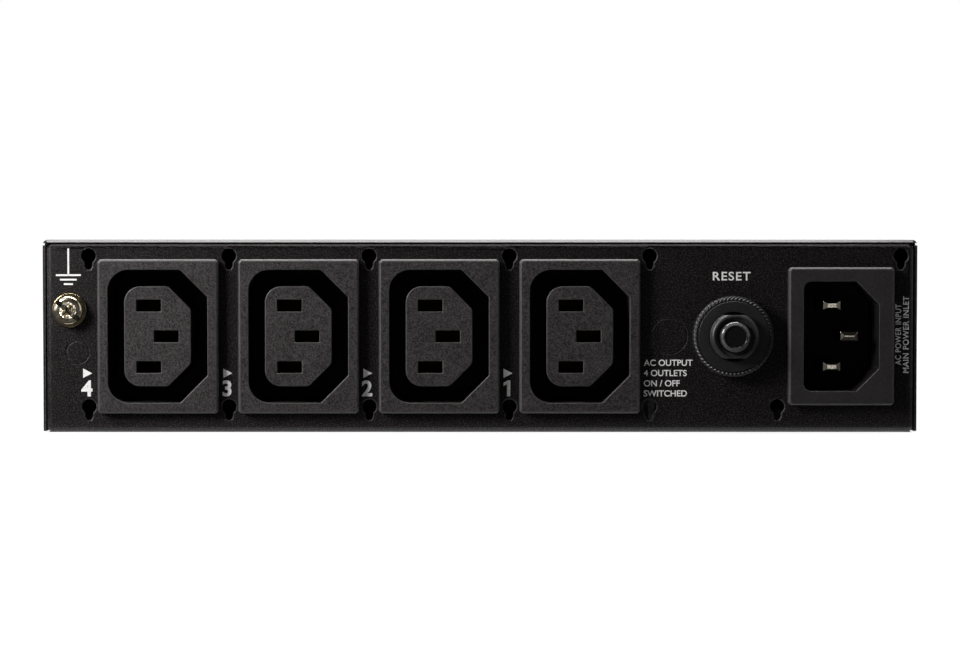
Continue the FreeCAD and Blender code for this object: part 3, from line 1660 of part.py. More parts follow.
sub_parts = [chassis_tray(), top_cover(), cover_screws()]
for outlet_number in range(1, OUTLETS + 1):
    sub_parts.append(outlet(outlet_number))
    sub_parts += [outlet_contact(outlet_number, pole) for pole in POLES]
    sub_parts.append(relay(outlet_number))
sub_parts.append(inlet_housing())
sub_parts += [inlet_pin(pole) for pole in POLES]
sub_parts += [breaker_body(), breaker_nut(), reset_button()]
sub_parts += [breaker_tab("breaker_line_tab", line_tab_z), breaker_tab("breaker_load_tab", load_tab_z)]
sub_parts += [ground_screw(), ground_washer(), ground_nut()]
sub_parts += [outlet_board(), main_board(), board_standoffs(), board_screws(), insulating_sheet()]
sub_parts += [supply_module(), bulk_capacitor(), current_sensor(), terminal_block()]
sub_parts += [controller_chip(), board_header()]
sub_parts += [lan_jack(), lan_contacts(), light_pipe(), status_leds()]
sub_parts += [line_wire(), load_wire(), neutral_wire(), earth_wire(), earth_stud(), earth_nut()]
doc.recompute()

for thing in doc.Objects:
    if "Invalid" in thing.State or "Error" in thing.State:
        raise RuntimeError(f"{thing.Name} could not be built: {thing.State}")
for thing in sub_parts:
    if thing.Shape.isNull() or not thing.Shape.isValid() or not thing.Shape.Solids:
        raise RuntimeError(f"{thing.Label} has no valid solid")

os.makedirs("parts", exist_ok=True)
for thing in sub_parts:
    thing.Shape.exportStep(f"parts/{thing.Label}.step")
print(f"{len(sub_parts)} sub-parts, case {case_width.value:.2f} x {case_height.value:.2f} mm")
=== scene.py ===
import math

import bmesh
import bpy
from mathutils import Matrix, Vector


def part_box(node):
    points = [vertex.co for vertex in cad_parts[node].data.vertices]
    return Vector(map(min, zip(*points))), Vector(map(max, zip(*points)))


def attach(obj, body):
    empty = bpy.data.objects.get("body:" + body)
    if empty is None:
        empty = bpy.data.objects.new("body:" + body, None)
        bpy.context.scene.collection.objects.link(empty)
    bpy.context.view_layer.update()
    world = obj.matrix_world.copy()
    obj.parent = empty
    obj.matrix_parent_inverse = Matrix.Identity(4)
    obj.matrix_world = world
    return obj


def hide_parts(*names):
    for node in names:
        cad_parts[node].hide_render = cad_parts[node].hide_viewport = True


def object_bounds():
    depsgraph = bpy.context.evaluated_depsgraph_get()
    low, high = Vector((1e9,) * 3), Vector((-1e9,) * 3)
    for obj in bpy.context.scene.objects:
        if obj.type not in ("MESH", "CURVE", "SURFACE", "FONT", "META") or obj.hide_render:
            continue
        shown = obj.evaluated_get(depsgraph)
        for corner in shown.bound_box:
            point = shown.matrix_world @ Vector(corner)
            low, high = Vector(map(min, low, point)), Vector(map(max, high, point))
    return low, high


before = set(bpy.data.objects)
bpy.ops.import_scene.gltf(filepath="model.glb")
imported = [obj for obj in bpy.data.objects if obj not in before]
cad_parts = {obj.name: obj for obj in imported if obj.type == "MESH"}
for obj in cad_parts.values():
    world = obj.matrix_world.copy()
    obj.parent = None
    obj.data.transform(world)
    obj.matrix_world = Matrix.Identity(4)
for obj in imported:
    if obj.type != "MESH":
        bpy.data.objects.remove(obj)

cad_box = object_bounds()

# Case tray: the pan that carries everything, folded from one sheet of 1 mm steel.
# Its blank is punched first, then folded, then sprayed with a black powder that bakes
# to a fine hard grain and rounds off every punched edge.

MM = 0.001


def nodes_of(finish):
    """A finish's node tree and the shader that it ends in."""
    return finish.node_tree, finish.node_tree.nodes["Principled BSDF"]


def new_finish(name, roughness=0.5, metallic=0.0, specular=0.5):
    """A new material with its node tree and its shader."""
    finish = bpy.data.materials.new(name)
    finish.use_nodes = True
    tree, shader = nodes_of(finish)
    shader.inputs["Roughness"].default_value = roughness
    shader.inputs["Metallic"].default_value = metallic
    shader.inputs["Specular IOR Level"].default_value = specular
    return finish, tree, shader


def feed(socket, value):
    """Links an input to a socket, or to each of a list of them, or sets it to a plain value."""
    for source in value if isinstance(value, list) else [value]:
        if isinstance(source, bpy.types.NodeSocket):
            socket.id_data.links.new(source, socket)
        else:
            socket.default_value = source


def add(tree, kind, **settings):
    """The outputs of a new node. Settings in small letters are its own, the others feed its inputs."""
    node = tree.nodes.new(kind)
    for label, value in settings.items():
        if label.islower():
            setattr(node, label, value)
        else:
            feed(node.inputs[label.replace("_", " ")], value)
    return node.outputs


def worked(tree, operation, first, second=0.0):
    """One step of arithmetic in a tree."""
    node = tree.nodes.new("ShaderNodeMath")
    node.operation = operation
    feed(node.inputs[0], first)
    feed(node.inputs[1], second)
    return node.outputs[0]


def times(tree, first, *others):
    """The product of several values in a tree."""
    for other in others:
        first = worked(tree, "MULTIPLY", first, other)
    return first


def ranged(tree, value, start, stop, low=0.0, high=1.0):
    """Goes from low to high while a value goes from start to stop."""
    limits = {"From_Min": start, "From_Max": stop, "To_Min": low, "To_Max": high}
    return add(tree, "ShaderNodeMapRange", Value=value, **limits)[0]


def on_piece(tree):
    """The X, Y and Z of a spot on the piece."""
    return add(tree, "ShaderNodeSeparateXYZ", Vector=add(tree, "ShaderNodeTexCoord")["Object"])


def grain(tree, size, detail=2.0, stretch=(1, 1, 1)):
    """Cloudy grain with lumps of about one size, fixed to the piece."""
    place = add(tree, "ShaderNodeTexCoord")["Object"]
    stretched = add(tree, "ShaderNodeMapping", Vector=place, Scale=stretch)[0]
    return add(tree, "ShaderNodeTexNoise", Vector=stretched, Scale=1 / size, Detail=detail)[0]


def colour_of(shader):
    """What the shader's colour comes from."""
    return shader.inputs["Base Color"].links[0].from_socket


def tinted(shader, source, dark, light, start=0.35, stop=0.65):
    """Colours the shader from dark to light with a source."""
    ramp = shader.id_data.nodes.new("ShaderNodeValToRGB")
    for element, position, colour in zip(ramp.color_ramp.elements, (start, stop), (dark, light)):
        element.position = position
        element.color = (*colour, 1)
    feed(ramp.inputs["Fac"], source)
    feed(shader.inputs["Base Color"], ramp.outputs["Color"])


def roughened(shader, source, low, high):
    """Lets the roughness follow a source."""
    feed(shader.inputs["Roughness"], ranged(shader.id_data, source, 0.3, 0.7, low, high))


def bumped(shader, source, depth, strength=1.0):
    """Raises the surface by a source, on top of any bump that it has."""
    settings = {"Height": source, "Distance": depth, "Strength": strength}
    if shader.inputs["Normal"].is_linked:
        settings["Normal"] = shader.inputs["Normal"].links[0].from_socket
    feed(shader.inputs["Normal"], add(shader.id_data, "ShaderNodeBump", **settings)[0])


def worn_edges(shader, pale):
    """Paints highlights on rounded edges: the colour turns pale there, in short dashes."""
    tree = shader.id_data
    edges = add(tree, "ShaderNodeAttribute", attribute_name="edge_wear")["Fac"]
    dashes = ranged(tree, grain(tree, 0.7 * MM, 1.0), start=0.38, stop=0.56, low=0.3)
    amount = times(tree, edges, dashes)
    mixed = add(tree, "ShaderNodeMixRGB", Fac=amount, Color1=colour_of(shader), Color2=(*pale, 1))
    feed(shader.inputs["Base Color"], mixed[0])


def powder_coat(name, roughness, specular):
    """Black powder coat: pale specks in a fine grain, on a slow orange peel."""
    finish, tree, shader = new_finish(name, specular=specular)
    fine = grain(tree, size=0.3 * MM)
    peel = grain(tree, size=2.2 * MM, detail=1.0)
    tinted(shader, fine, (0.0006, 0.0005, 0.0005), (0.06, 0.048, 0.05), start=0.5, stop=0.7)
    # Pale dashes on the rounded edges are painted highlights.
    worn_edges(shader, pale=(0.034, 0.033, 0.032))
    roughened(shader, peel, roughness - 0.03, roughness + 0.03)
    bumped(shader, peel, depth=0.03 * MM, strength=0.25)
    bumped(shader, fine, depth=0.02 * MM, strength=0.5)
    return finish


def duller_at_bend(finish, start, stop, shine, at_bend):
    """Lets a coat lose its shine on the bend along the panel's top."""
    tree, shader = nodes_of(finish)
    fading = ranged(tree, on_piece(tree)["Z"], start, stop, shine, at_bend)
    feed(shader.inputs["Specular IOR Level"], fading)


def set_up(name, data):
    """A new object in the scene."""
    item = bpy.data.objects.new(name, data)
    bpy.context.scene.collection.objects.link(item)
    return item


def as_mesh(work, name):
    """The mesh of a bmesh that is finished."""
    mesh = bpy.data.meshes.new(name)
    work.to_mesh(mesh)
    work.free()
    return mesh


def evaluated_mesh(holder):
    """The mesh that a holder's modifiers make of it; the holder goes."""
    evaluated = holder.evaluated_get(bpy.context.evaluated_depsgraph_get())
    mesh = bpy.data.meshes.new_from_object(evaluated)
    bpy.data.objects.remove(holder)
    return mesh


def plain_normals(mesh):
    """Leaves a mesh with the normals that its own faces give."""
    if "custom_normal" in mesh.attributes:
        mesh.attributes.remove(mesh.attributes["custom_normal"])


def mark_faces(mesh, label, marks):
    """Keeps a number for each face, for a finish to read."""
    layer = mesh.attributes.new(label, "FLOAT", "FACE")
    layer.data.foreach_set("value", [float(mark) for mark in marks])


def coated(mesh, finish):
    """Gives a mesh its one finish."""
    mesh.materials.clear()
    mesh.materials.append(finish)


def new_piece(name, mesh, finish, body="housing", stands_for=None):
    """A finished piece on its body, which may stand for a CAD node."""
    coated(mesh, finish)
    piece = set_up(name, mesh)
    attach(piece, body)
    if stands_for:
        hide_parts(stands_for)


def rounded_mesh(node, name, edge, steps=3, share=None, shape=None):
    """A CAD node's mesh, reshaped if asked, with its sharp edges rounded, all alike or by their shares."""
    flat_angle = math.radians(0.5)
    sharp_angle = math.radians(28)
    work = bmesh.new()
    work.from_mesh(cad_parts[node].data)
    bmesh.ops.remove_doubles(work, verts=work.verts, dist=0.002 * MM)
    if shape:
        shape(work)
    bmesh.ops.dissolve_limit(work, angle_limit=flat_angle, verts=work.verts, edges=work.edges)
    weight = work.edges.layers.float.new("bevel_weight_edge")
    for rim in work.edges:
        if rim.is_manifold and rim.calc_face_angle() > sharp_angle:
            rim[weight] = share(rim) if share else 1.0
            rim.smooth = rim[weight] > 0
    for face in work.faces:
        face.smooth = True
    blank = as_mesh(work, name + "_blank")
    plain_normals(blank)
    # The rounding's own faces get the second slot, and so are told apart for the painted edge highlights.
    blank.materials.clear()
    blank.materials.append(None)
    blank.materials.append(None)
    holder = set_up(name + "_blank", blank)
    rounding = holder.modifiers.new("round_edges", "BEVEL")
    rounding.width = edge
    rounding.segments = steps
    rounding.limit_method = "WEIGHT"
    rounding.use_clamp_overlap = False
    rounding.harden_normals = True
    rounding.material = 1
    mesh = evaluated_mesh(holder)
    mark_faces(mesh, "edge_wear", [face.material_index for face in mesh.polygons])
    mesh.polygons.foreach_set("material_index", [0] * len(mesh.polygons))
    return mesh


def softened(node, name, finish, slot, edge, **rounding):
    """A piece that stands for a CAD node, with its sharp edges rounded off."""
    mesh = rounded_mesh(node, name, edge, **rounding)
    new_piece(name, mesh, finish, stands_for=node)


panel_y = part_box("chassis_tray")[0].y
panel_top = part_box("chassis_tray")[1].z
knock_outs = [(-91.9 * MM, 18.3 * MM, 2.6 * MM), (43.1 * MM, 22.0 * MM, 4.1 * MM)]
ring_reach = 0.5 * MM
ring_depth = 0.6 * MM
filled_depth = 0.13 * MM
ring_share = 0.36


def in_scored_ring(spot):
    """Whether a spot lies in the scored ring of a knock-out, which has a place and a radius."""
    if spot.y > panel_y + ring_depth:
        return False
    reaches = [math.hypot(spot.x - across, spot.z - up) - radius for across, up, radius in knock_outs]
    return min(abs(reach) for reach in reaches) < ring_reach


def fill_rings(work):
    """The coat fills most of the scored rings."""
    for corner in work.verts:
        if corner.co.y > panel_y + filled_depth and in_scored_ring(corner.co):
            corner.co.y = panel_y + filled_depth


def middle_of(rim):
    """The middle of an edge."""
    return (rim.verts[0].co + rim.verts[1].co) / 2


def panel_edge_share(rim):
    """All of the rounding, but less at the scored rings and none at their bottoms."""
    middle = middle_of(rim)
    if not in_scored_ring(middle):
        return 1.0
    return ring_share if middle.y < panel_y + filled_depth / 3 else 0.0


tray_shine = 0.32
bend_shine = 0.06
bend_start = panel_top - 1.6 * MM
bend_stop = panel_top - 0.8 * MM
tray_coat = powder_coat("tray_powder_coat", roughness=0.41, specular=tray_shine)
duller_at_bend(tray_coat, bend_start, bend_stop, tray_shine, bend_shine)
softened(
    "chassis_tray",
    "folded_tray",
    tray_coat,
    "case_paint",
    edge=0.3 * MM,
    steps=4,
    share=panel_edge_share,
    shape=fill_rings,
)

# Top cover: a second sheet, 0.8 mm thick, folded to a U over the top and both sides.
# Its coat flowed out smoother along the top's rear edge, and vents are punched in its sides.

cover_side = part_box("top_cover")[1].x
cover_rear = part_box("top_cover")[0].y
slit_low = 42.4 * MM
slit_high = 43.4 * MM
slit_reach = 1.5 * MM


def cover_edge_share(rim):
    """All of the rounding, but none in the slits at the rear corners, where the bend runs out."""
    middle = middle_of(rim)
    beside = abs(middle.x) > cover_side - slit_reach
    in_slit = slit_low < middle.z < slit_high
    return 0.0 if beside and in_slit else 1.0


def smoother_at_edge(finish, start, stop, level, changes):
    """Lets settings of a coat change towards the rear edge, above a level."""
    tree, shader = nodes_of(finish)
    spot = on_piece(tree)
    # Below the level a metre is added, which is past the stop.
    inward = worked(tree, "ADD", spot["Y"], worked(tree, "LESS_THAN", spot["Z"], level))
    for label, (at_edge, beyond) in changes.items():
        feed(shader.inputs[label], ranged(tree, inward, start, stop, at_edge, beyond))


cover_roughness = 0.62
cover_shine = 0.2
cover_coat = powder_coat("cover_powder_coat", cover_roughness, cover_shine)
smoother_at_edge(
    cover_coat,
    start=cover_rear + 0.8 * MM,
    stop=cover_rear + 2.0 * MM,
    level=slit_low,
    changes={"Roughness": (0.3, cover_roughness), "Specular IOR Level": (0.5, cover_shine)},
)
softened("top_cover", "folded_cover", cover_coat, "case_paint", edge=0.14 * MM, share=cover_edge_share)

# Cover screws: four countersunk steel screws with a cross recess, blackened and oiled.
# They hold the cover's sides to the lips of the tray.


def plated(name, size, dark, light, rough, spread=(0.35, 0.65), detail=2.0, stretch=(1, 1, 1), metallic=1.0):
    """A metal finish whose colour and roughness drift together, in clouds of about one size."""
    finish, tree, shader = new_finish(name, metallic=metallic)
    clouds = grain(tree, size, detail, stretch)
    tinted(shader, clouds, dark, light, *spread)
    roughened(shader, clouds, *rough)
    return finish


def points_mesh(name, spots):
    """Loose points that a tree sets its copies on."""
    mesh = bpy.data.meshes.new(name)
    mesh.from_pydata(spots, [], [])
    return mesh


def grown(name, carrier, build, finish, sizes):
    """The plain mesh that a node tree makes on a carrier, with its sizes as named inputs."""
    tree = bpy.data.node_groups.new(name, "GeometryNodeTree")
    new_socket = tree.interface.new_socket
    new_socket("Geometry", in_out="INPUT", socket_type="NodeSocketGeometry")
    inputs = {label: new_socket(label, in_out="INPUT", socket_type="NodeSocketFloat") for label in sizes}
    new_socket("Geometry", in_out="OUTPUT", socket_type="NodeSocketGeometry")
    geometry = build(tree, tree.nodes.new("NodeGroupInput").outputs)
    real = add(tree, "GeometryNodeRealizeInstances", Geometry=geometry)[0]
    dressed = add(tree, "GeometryNodeSetMaterial", Geometry=real, Material=finish)[0]
    add(tree, "NodeGroupOutput", Geometry=dressed)
    holder = set_up(name + "_carrier", carrier)
    modifier = holder.modifiers.new(name, "NODES")
    modifier.node_group = tree
    for label, size in sizes.items():
        modifier[inputs[label].identifier] = size
    return evaluated_mesh(holder)


def lowered(tree, geometry, drop):
    """A geometry let down by a drop."""
    place = add(tree, "ShaderNodeCombineXYZ", Z=times(tree, drop, -1.0))[0]
    return add(tree, "GeometryNodeTransform", Geometry=geometry, Translation=place)[0]


def countersunk_screws(tree, given):
    """A countersunk screw on each point, its head facing away from the case's middle."""
    cone = add(
        tree,
        "GeometryNodeMeshCone",
        Vertices=48,
        Radius_Top=given["Head Radius"],
        Radius_Bottom=given["Neck Radius"],
        Depth=given["Head Depth"],
    )[0]
    depth = times(tree, given["Recess Depth"], 2.0)
    size = add(tree, "ShaderNodeCombineXYZ", X=given["Recess Reach"], Y=given["Recess Width"], Z=depth)[0]
    wings = []
    first_turn = math.radians(20)
    for turn in (first_turn, first_turn + math.pi / 2):
        block = add(tree, "GeometryNodeMeshCube", Size=size)[0]
        wings.append(add(tree, "GeometryNodeTransform", Geometry=block, Rotation=(0, 0, turn))[0])
    head = add(
        tree,
        "GeometryNodeMeshBoolean",
        operation="DIFFERENCE",
        Mesh_1=lowered(tree, cone, given["Head Depth"]),
        Mesh_2=wings,
    )[0]
    length = given["Shank Length"]
    rod = add(tree, "GeometryNodeMeshCylinder", Vertices=32, Radius=given["Shank Radius"], Depth=length)[0]
    half_shank = times(tree, length, 0.5)
    shank = lowered(tree, rod, worked(tree, "ADD", half_shank, given["Head Depth"]))
    spot = add(tree, "ShaderNodeSeparateXYZ", Vector=add(tree, "GeometryNodeInputPosition")[0])
    outward = add(tree, "ShaderNodeCombineXYZ", X=spot["X"])[0]
    return add(
        tree,
        "GeometryNodeInstanceOnPoints",
        Points=given["Geometry"],
        Instance=add(tree, "GeometryNodeJoinGeometry", Geometry=[head, shank])[0],
        Rotation=add(tree, "FunctionNodeAlignRotationToVector", axis="Z", Vector=outward)[0],
    )[0]


screw_sink = 0.05 * MM
screw_height = 5.6 * MM
screw_spread = 55.0 * MM
screw_face = cover_side - screw_sink
screw_spots = [
    (side * screw_face, along * screw_spread, screw_height) for side in (-1, 1) for along in (-1, 1)
]
screw_black = plated(
    "black_plating",
    size=0.5 * MM,
    dark=(0.018, 0.018, 0.019),
    light=(0.07, 0.07, 0.072),
    rough=(0.28, 0.45),
    spread=(0.4, 0.75),
    detail=3.0,
    metallic=0.85,
)
cover_screws = grown(
    "cover_screws",
    points_mesh("screw_spots", screw_spots),
    countersunk_screws,
    screw_black,
    {
        "Head Radius": 2.8 * MM,
        "Neck Radius": 2.05 * MM,
        "Head Depth": 0.75 * MM,
        "Shank Radius": 1.45 * MM,
        "Shank Length": 5.2 * MM,
        "Recess Reach": 2.9 * MM,
        "Recess Width": 0.62 * MM,
        "Recess Depth": 0.6 * MM,
    },
)
new_piece("cross_screws", cover_screws, screw_black, stands_for="cover_screws")

# Outlets: four mouldings in black polyamide, snapped into the panel from outside.
# The mould was spark eroded, so their faces are satin with a fine pale grain.


def moulded_black(name, dark, light, roughness, grain_size, depth):
    """Satin black moulding with an eroded grain."""
    finish, tree, shader = new_finish(name)
    fine = grain(tree, grain_size)
    flow = grain(tree, size=6.0 * MM, detail=1.0)
    tinted(shader, fine, dark, light, start=0.36, stop=0.68)
    # Pale dashes on the rounded edges are painted highlights.
    worn_edges(shader, pale=(0.052, 0.05, 0.049))
    roughened(shader, flow, roughness - 0.05, roughness + 0.05)
    bumped(shader, fine, depth, strength=0.6)
    return finish


def apart(tree, first, second):
    """How far two values are apart."""
    return worked(tree, "ABSOLUTE", worked(tree, "SUBTRACT", first, second))


def dimmed(shader, level):
    """Brings the shader's colour down to a level."""
    settings = {"operation": "SCALE", "Vector": colour_of(shader), "Scale": level}
    feed(shader.inputs["Base Color"], add(shader.id_data, "ShaderNodeVectorMath", **settings)[0])


def darker_inside(finish, centre, half_width, half_height, start, share, pitch=1.0):
    """Paints shade on the walls of a mouth from a depth on, as a darker colour and less shine; mouths may
    repeat.
    """
    tree, shader = nodes_of(finish)
    shine = shader.inputs["Specular IOR Level"]
    spot = on_piece(tree)
    run = worked(tree, "SUBTRACT", spot["X"], centre[0] - pitch / 2)
    aside = apart(tree, worked(tree, "FLOORED_MODULO", run, pitch), pitch / 2)
    above = apart(tree, spot["Z"], centre[1])
    across = worked(tree, "LESS_THAN", aside, half_width)
    along = worked(tree, "LESS_THAN", above, half_height)
    sunk = worked(tree, "GREATER_THAN", spot["Y"], start)
    level = worked(tree, "SUBTRACT", 1.0, times(tree, across, along, sunk, 1.0 - share))
    dimmed(shader, level)
    feed(shine, times(tree, level, shine.default_value))


outlet_black = moulded_black(
    "outlet_polyamide",
    dark=(0.0015, 0.0013, 0.0013),
    light=(0.068, 0.058, 0.0595),
    roughness=0.46,
    grain_size=0.28 * MM,
    depth=0.015 * MM,
)
outlet_boxes = {number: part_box(f"outlet_{number}") for number in (1, 2, 3, 4)}
first_low, first_high = outlet_boxes[1]
outlet_face = first_low.y
middle_z = (first_low.z + first_high.z) / 2
outlet_x = (first_low.x + first_high.x) / 2
mouth_lip = 0.4 * MM
mouth_shade_share = 0.4
# Painted shade deep in the mouths of the outlets.
darker_inside(
    outlet_black,
    centre=(outlet_x, middle_z),
    half_width=11.5 * MM,
    half_height=15.3 * MM,
    start=outlet_face + mouth_lip,
    share=mouth_shade_share,
    pitch=first_low.x - outlet_boxes[2][0].x,
)
outlet_mesh = rounded_mesh("outlet_1", "outlet_moulding", edge=0.24 * MM, steps=4)
for number, box in outlet_boxes.items():
    name = f"outlet_moulding_{number}"
    moulding = outlet_mesh.copy()
    moulding.transform(Matrix.Translation((box[0].x - first_low.x, 0, 0)))
    new_piece(name, moulding, outlet_black, stands_for=f"outlet_{number}")
bpy.data.meshes.remove(outlet_mesh)

# Contacts: brass strips folded in pairs of leaves, in chambers behind the slots of each outlet.
# Their brass is coloured very dark as painted shade for the dark chambers, and shows only as a dim glint.


def dress(finish, *names):
    """Gives CAD nodes their finish."""
    for name in names:
        coated(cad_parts[name].data, finish)


# Brass darkened to paint the shade that the contacts lie in.
shade_darkened_brass = plated(
    "contact_brass",
    size=0.5 * MM,
    dark=(0.05, 0.035, 0.018),
    light=(0.14, 0.10, 0.05),
    rough=(0.3, 0.42),
    detail=3.0,
    stretch=(1, 0.1, 1),
)
poles = ("line", "neutral", "earth")
dress(shade_darkened_brass, *(f"outlet_{number}_{pole}_contact" for number in outlet_boxes for pole in poles))

# Inlet: a deeper moulding with a keyed cavity, and three nickel-plated blades pressed in its floor.
# It is snapped into the panel like the outlets.

inlet_black = moulded_black(
    "inlet_polyamide",
    dark=(0.0155, 0.0134, 0.0139),
    light=(0.0315, 0.0274, 0.0282),
    roughness=0.5,
    grain_size=0.26 * MM,
    depth=0.012 * MM,
)
inlet_low, inlet_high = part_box("inlet_housing")
# Painted shade deep in the inlet's cavity.
darker_inside(
    inlet_black,
    centre=((inlet_low.x + inlet_high.x) / 2, middle_z),
    half_width=9.0 * MM,
    half_height=12.9 * MM,
    start=inlet_low.y + mouth_lip,
    share=mouth_shade_share,
)
softened("inlet_housing", "inlet_moulding", inlet_black, "inlet_plastic", edge=0.2 * MM, steps=4)


def nickel():
    """Bright nickel plating with faint drawing lines, and a painted glint of rough cream on the nose."""
    finish, tree, shader = new_finish("blade_nickel")
    glint_speckle = grain(tree, 0.3 * MM)
    tinted(shader, glint_speckle, (0.50, 0.44, 0.32), (1.0, 0.95, 0.83), start=0.4, stop=0.54)
    glint_cream = colour_of(shader)
    drawn = grain(tree, 0.9 * MM, stretch=(1, 0.08, 1))
    tinted(shader, drawn, (0.34, 0.32, 0.27), (0.48, 0.45, 0.39))
    scuffed = add(tree, "ShaderNodeAttribute", attribute_name="scuffed")["Fac"]
    mixed = add(tree, "ShaderNodeMixRGB", Fac=scuffed, Color1=colour_of(shader), Color2=glint_cream)[0]
    feed(shader.inputs["Base Color"], mixed)
    feed(shader.inputs["Roughness"], ranged(tree, scuffed, 0, 1, low=0.14, high=0.62))
    feed(shader.inputs["Metallic"], ranged(tree, scuffed, 0, 1, low=1.0, high=0.3))
    return finish


nose_length = 2.6 * MM
tip_reach = 0.1 * MM
nose_shares = {"line": (0.74, 1.2), "neutral": (0.74, 1.2), "earth": (0.8, 0.3)}


def taper_nose(work, width_share, height_share):
    """Tapers a blade to its nose, whose width and height become shares of what they were."""
    nose = min(corner.co.y for corner in work.verts)
    bmesh.ops.bisect_plane(
        work,
        geom=work.verts[:] + work.edges[:] + work.faces[:],
        plane_co=(0, nose + nose_length, 0),
        plane_no=(0, 1, 0),
    )
    tips = [corner for corner in work.verts if corner.co.y < nose + tip_reach]
    centre_x = sum(corner.co.x for corner in tips) / len(tips)
    centre_z = sum(corner.co.z for corner in tips) / len(tips)
    for corner in tips:
        corner.co.x = centre_x + (corner.co.x - centre_x) * width_share
        corner.co.z = centre_z + (corner.co.z - centre_z) * height_share


blade_nickel = nickel()
blade_edge = 0.06 * MM
blade_sharp_angle = math.radians(6)
facing_front = -0.97
for pole in poles:
    node = f"inlet_{pole}_pin"
    name = f"{pole}_blade"
    blade = rounded_mesh(node, name, blade_edge, shape=lambda work: taper_nose(work, *nose_shares[pole]))
    plain_normals(blade)
    blade.set_sharp_from_angle(angle=blade_sharp_angle)
    # The faces of each nose that face front get the painted glint.
    mark_faces(blade, "scuffed", [face.normal.y < facing_front for face in blade.polygons])
    new_piece(name, blade, blade_nickel, stands_for=node)

# Breaker: a thermal breaker behind the panel, whose neck comes through it.
# It is a black phenolic moulding; its thread is cut away on two flats.

breaker_black = moulded_black(
    "breaker_phenolic",
    dark=(0.016, 0.0148, 0.0156),
    light=(0.034, 0.0315, 0.033),
    roughness=0.4,
    grain_size=0.4 * MM,
    depth=0.012 * MM,
)


def arc(centre, radius, start, stop, steps):
    """Points of a round stretch in a profile, between two angles in degrees."""
    across, along = centre
    turns = [math.radians(start + (stop - start) * step / steps) for step in range(steps + 1)]
    return [(across + radius * math.cos(turn), along + radius * math.sin(turn)) for turn in turns]


def turned(name, profile, start, steps=96):
    """A turned mesh about the Y axis through a start, from a profile of radius and depth in millimetres."""
    work = bmesh.new()
    line = [work.verts.new((radius * MM, depth * MM, 0)) for radius, depth in profile]
    edges = [work.edges.new(pair) for pair in zip(line, line[1:])]
    bmesh.ops.spin(work, geom=line + edges, axis=(0, 1, 0), cent=(0, 0, 0), angle=2 * math.pi, steps=steps)
    bmesh.ops.remove_doubles(work, verts=work.verts, dist=0.001 * MM)
    bmesh.ops.recalc_face_normals(work, faces=work.faces)
    mesh = as_mesh(work, name)
    mesh.transform(Matrix.Translation(start))
    mesh.shade_smooth()
    mesh.set_sharp_from_angle(angle=math.radians(34))
    return mesh


def cut_off(mesh, spot, outward):
    """Takes away what lies beyond a plane and closes the cut."""
    work = bmesh.new()
    work.from_mesh(mesh)
    cut = bmesh.ops.bisect_plane(
        work,
        geom=work.verts[:] + work.edges[:] + work.faces[:],
        plane_co=spot,
        plane_no=outward,
        clear_outer=True,
    )
    rims = [item for item in cut["geom_cut"] if isinstance(item, bmesh.types.BMEdge)]
    closed = bmesh.ops.holes_fill(work, edges=rims)
    for face in closed["faces"]:
        face.smooth = False
        for rim in face.edges:
            rim.smooth = False
    work.to_mesh(mesh)
    work.free()


def cut_flats(mesh):
    """Cuts the neck's two flats, above and below."""
    for side in (-1, 1):
        cut_off(mesh, (0, 0, middle_z + side * neck_flats / 2), (0, 0, side))


neck_radius = 5.4
neck_flats = 9.8 * MM
neck_bore = 3.75
neck_overlap = 1.0
mouth_radius = 4.4
mouth_depth = 0.8
mouth_round = 0.15
dome_round = 0.85
nut_low, nut_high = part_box("breaker_nut")
neck_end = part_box("breaker_body")[0].y
breaker_x = (nut_low.x + nut_high.x) / 2
neck_reach = (nut_low.y - neck_end) / MM + neck_overlap
neck_profile = [(neck_bore, neck_reach), (neck_bore, mouth_depth), (mouth_radius, mouth_depth)]
neck_profile += arc((mouth_radius + mouth_round, mouth_round), mouth_round, 180, 270, steps=4)
neck_profile += arc((neck_radius - dome_round, dome_round), dome_round, 270, 360, steps=12)
neck_profile += [(neck_radius, neck_reach), (neck_bore, neck_reach)]
neck = turned("breaker_neck", neck_profile, (breaker_x, neck_end, middle_z))
cut_flats(neck)
block = rounded_mesh("breaker_body", "breaker_block", edge=0.16 * MM)
cut_off(block, (0, neck_end + neck_reach * MM, 0), (0, -1, 0))
whole = bmesh.new()
whole.from_mesh(block)
whole.from_mesh(neck)
bpy.data.meshes.remove(neck)
plain_normals(block)
whole.to_mesh(block)
whole.free()
new_piece("breaker_moulding", block, breaker_black, stands_for="breaker_body")


def helical_ridge(tree, given):
    """A helical ridge of several turns about the vertical axis, which starts at the origin."""
    helix = add(
        tree,
        "GeometryNodeCurveSpiral",
        Resolution=56,
        Rotations=given["Turns"],
        Start_Radius=given["Radius"],
        End_Radius=given["Radius"],
        Height=given["Length"],
    )[0]
    ridge = add(tree, "GeometryNodeCurvePrimitiveCircle", Resolution=6, Radius=given["Ridge"])[0]
    swept = add(tree, "GeometryNodeCurveToMesh", Curve=helix, Profile_Curve=ridge, Fill_Caps=True)[0]
    return add(tree, "GeometryNodeSetShadeSmooth", Geometry=swept)[0]


thread_pitch = 0.75 * MM
thread_gap = 0.1
thread_length = nut_low.y - neck_end - (dome_round + thread_gap) * MM
thread = grown(
    "neck_thread",
    points_mesh("thread_start", [(0, 0, 0)]),
    helical_ridge,
    breaker_black,
    {
        "Radius": neck_radius * MM,
        "Length": thread_length,
        "Turns": thread_length / thread_pitch,
        "Ridge": 0.16 * MM,
    },
)
thread_start = Matrix.Translation((breaker_x, nut_low.y - thread_gap * MM, middle_z))
thread.transform(thread_start @ Matrix.Rotation(math.pi / 2, 4, "X"))
cut_flats(thread)
new_piece("neck_thread", thread, breaker_black)

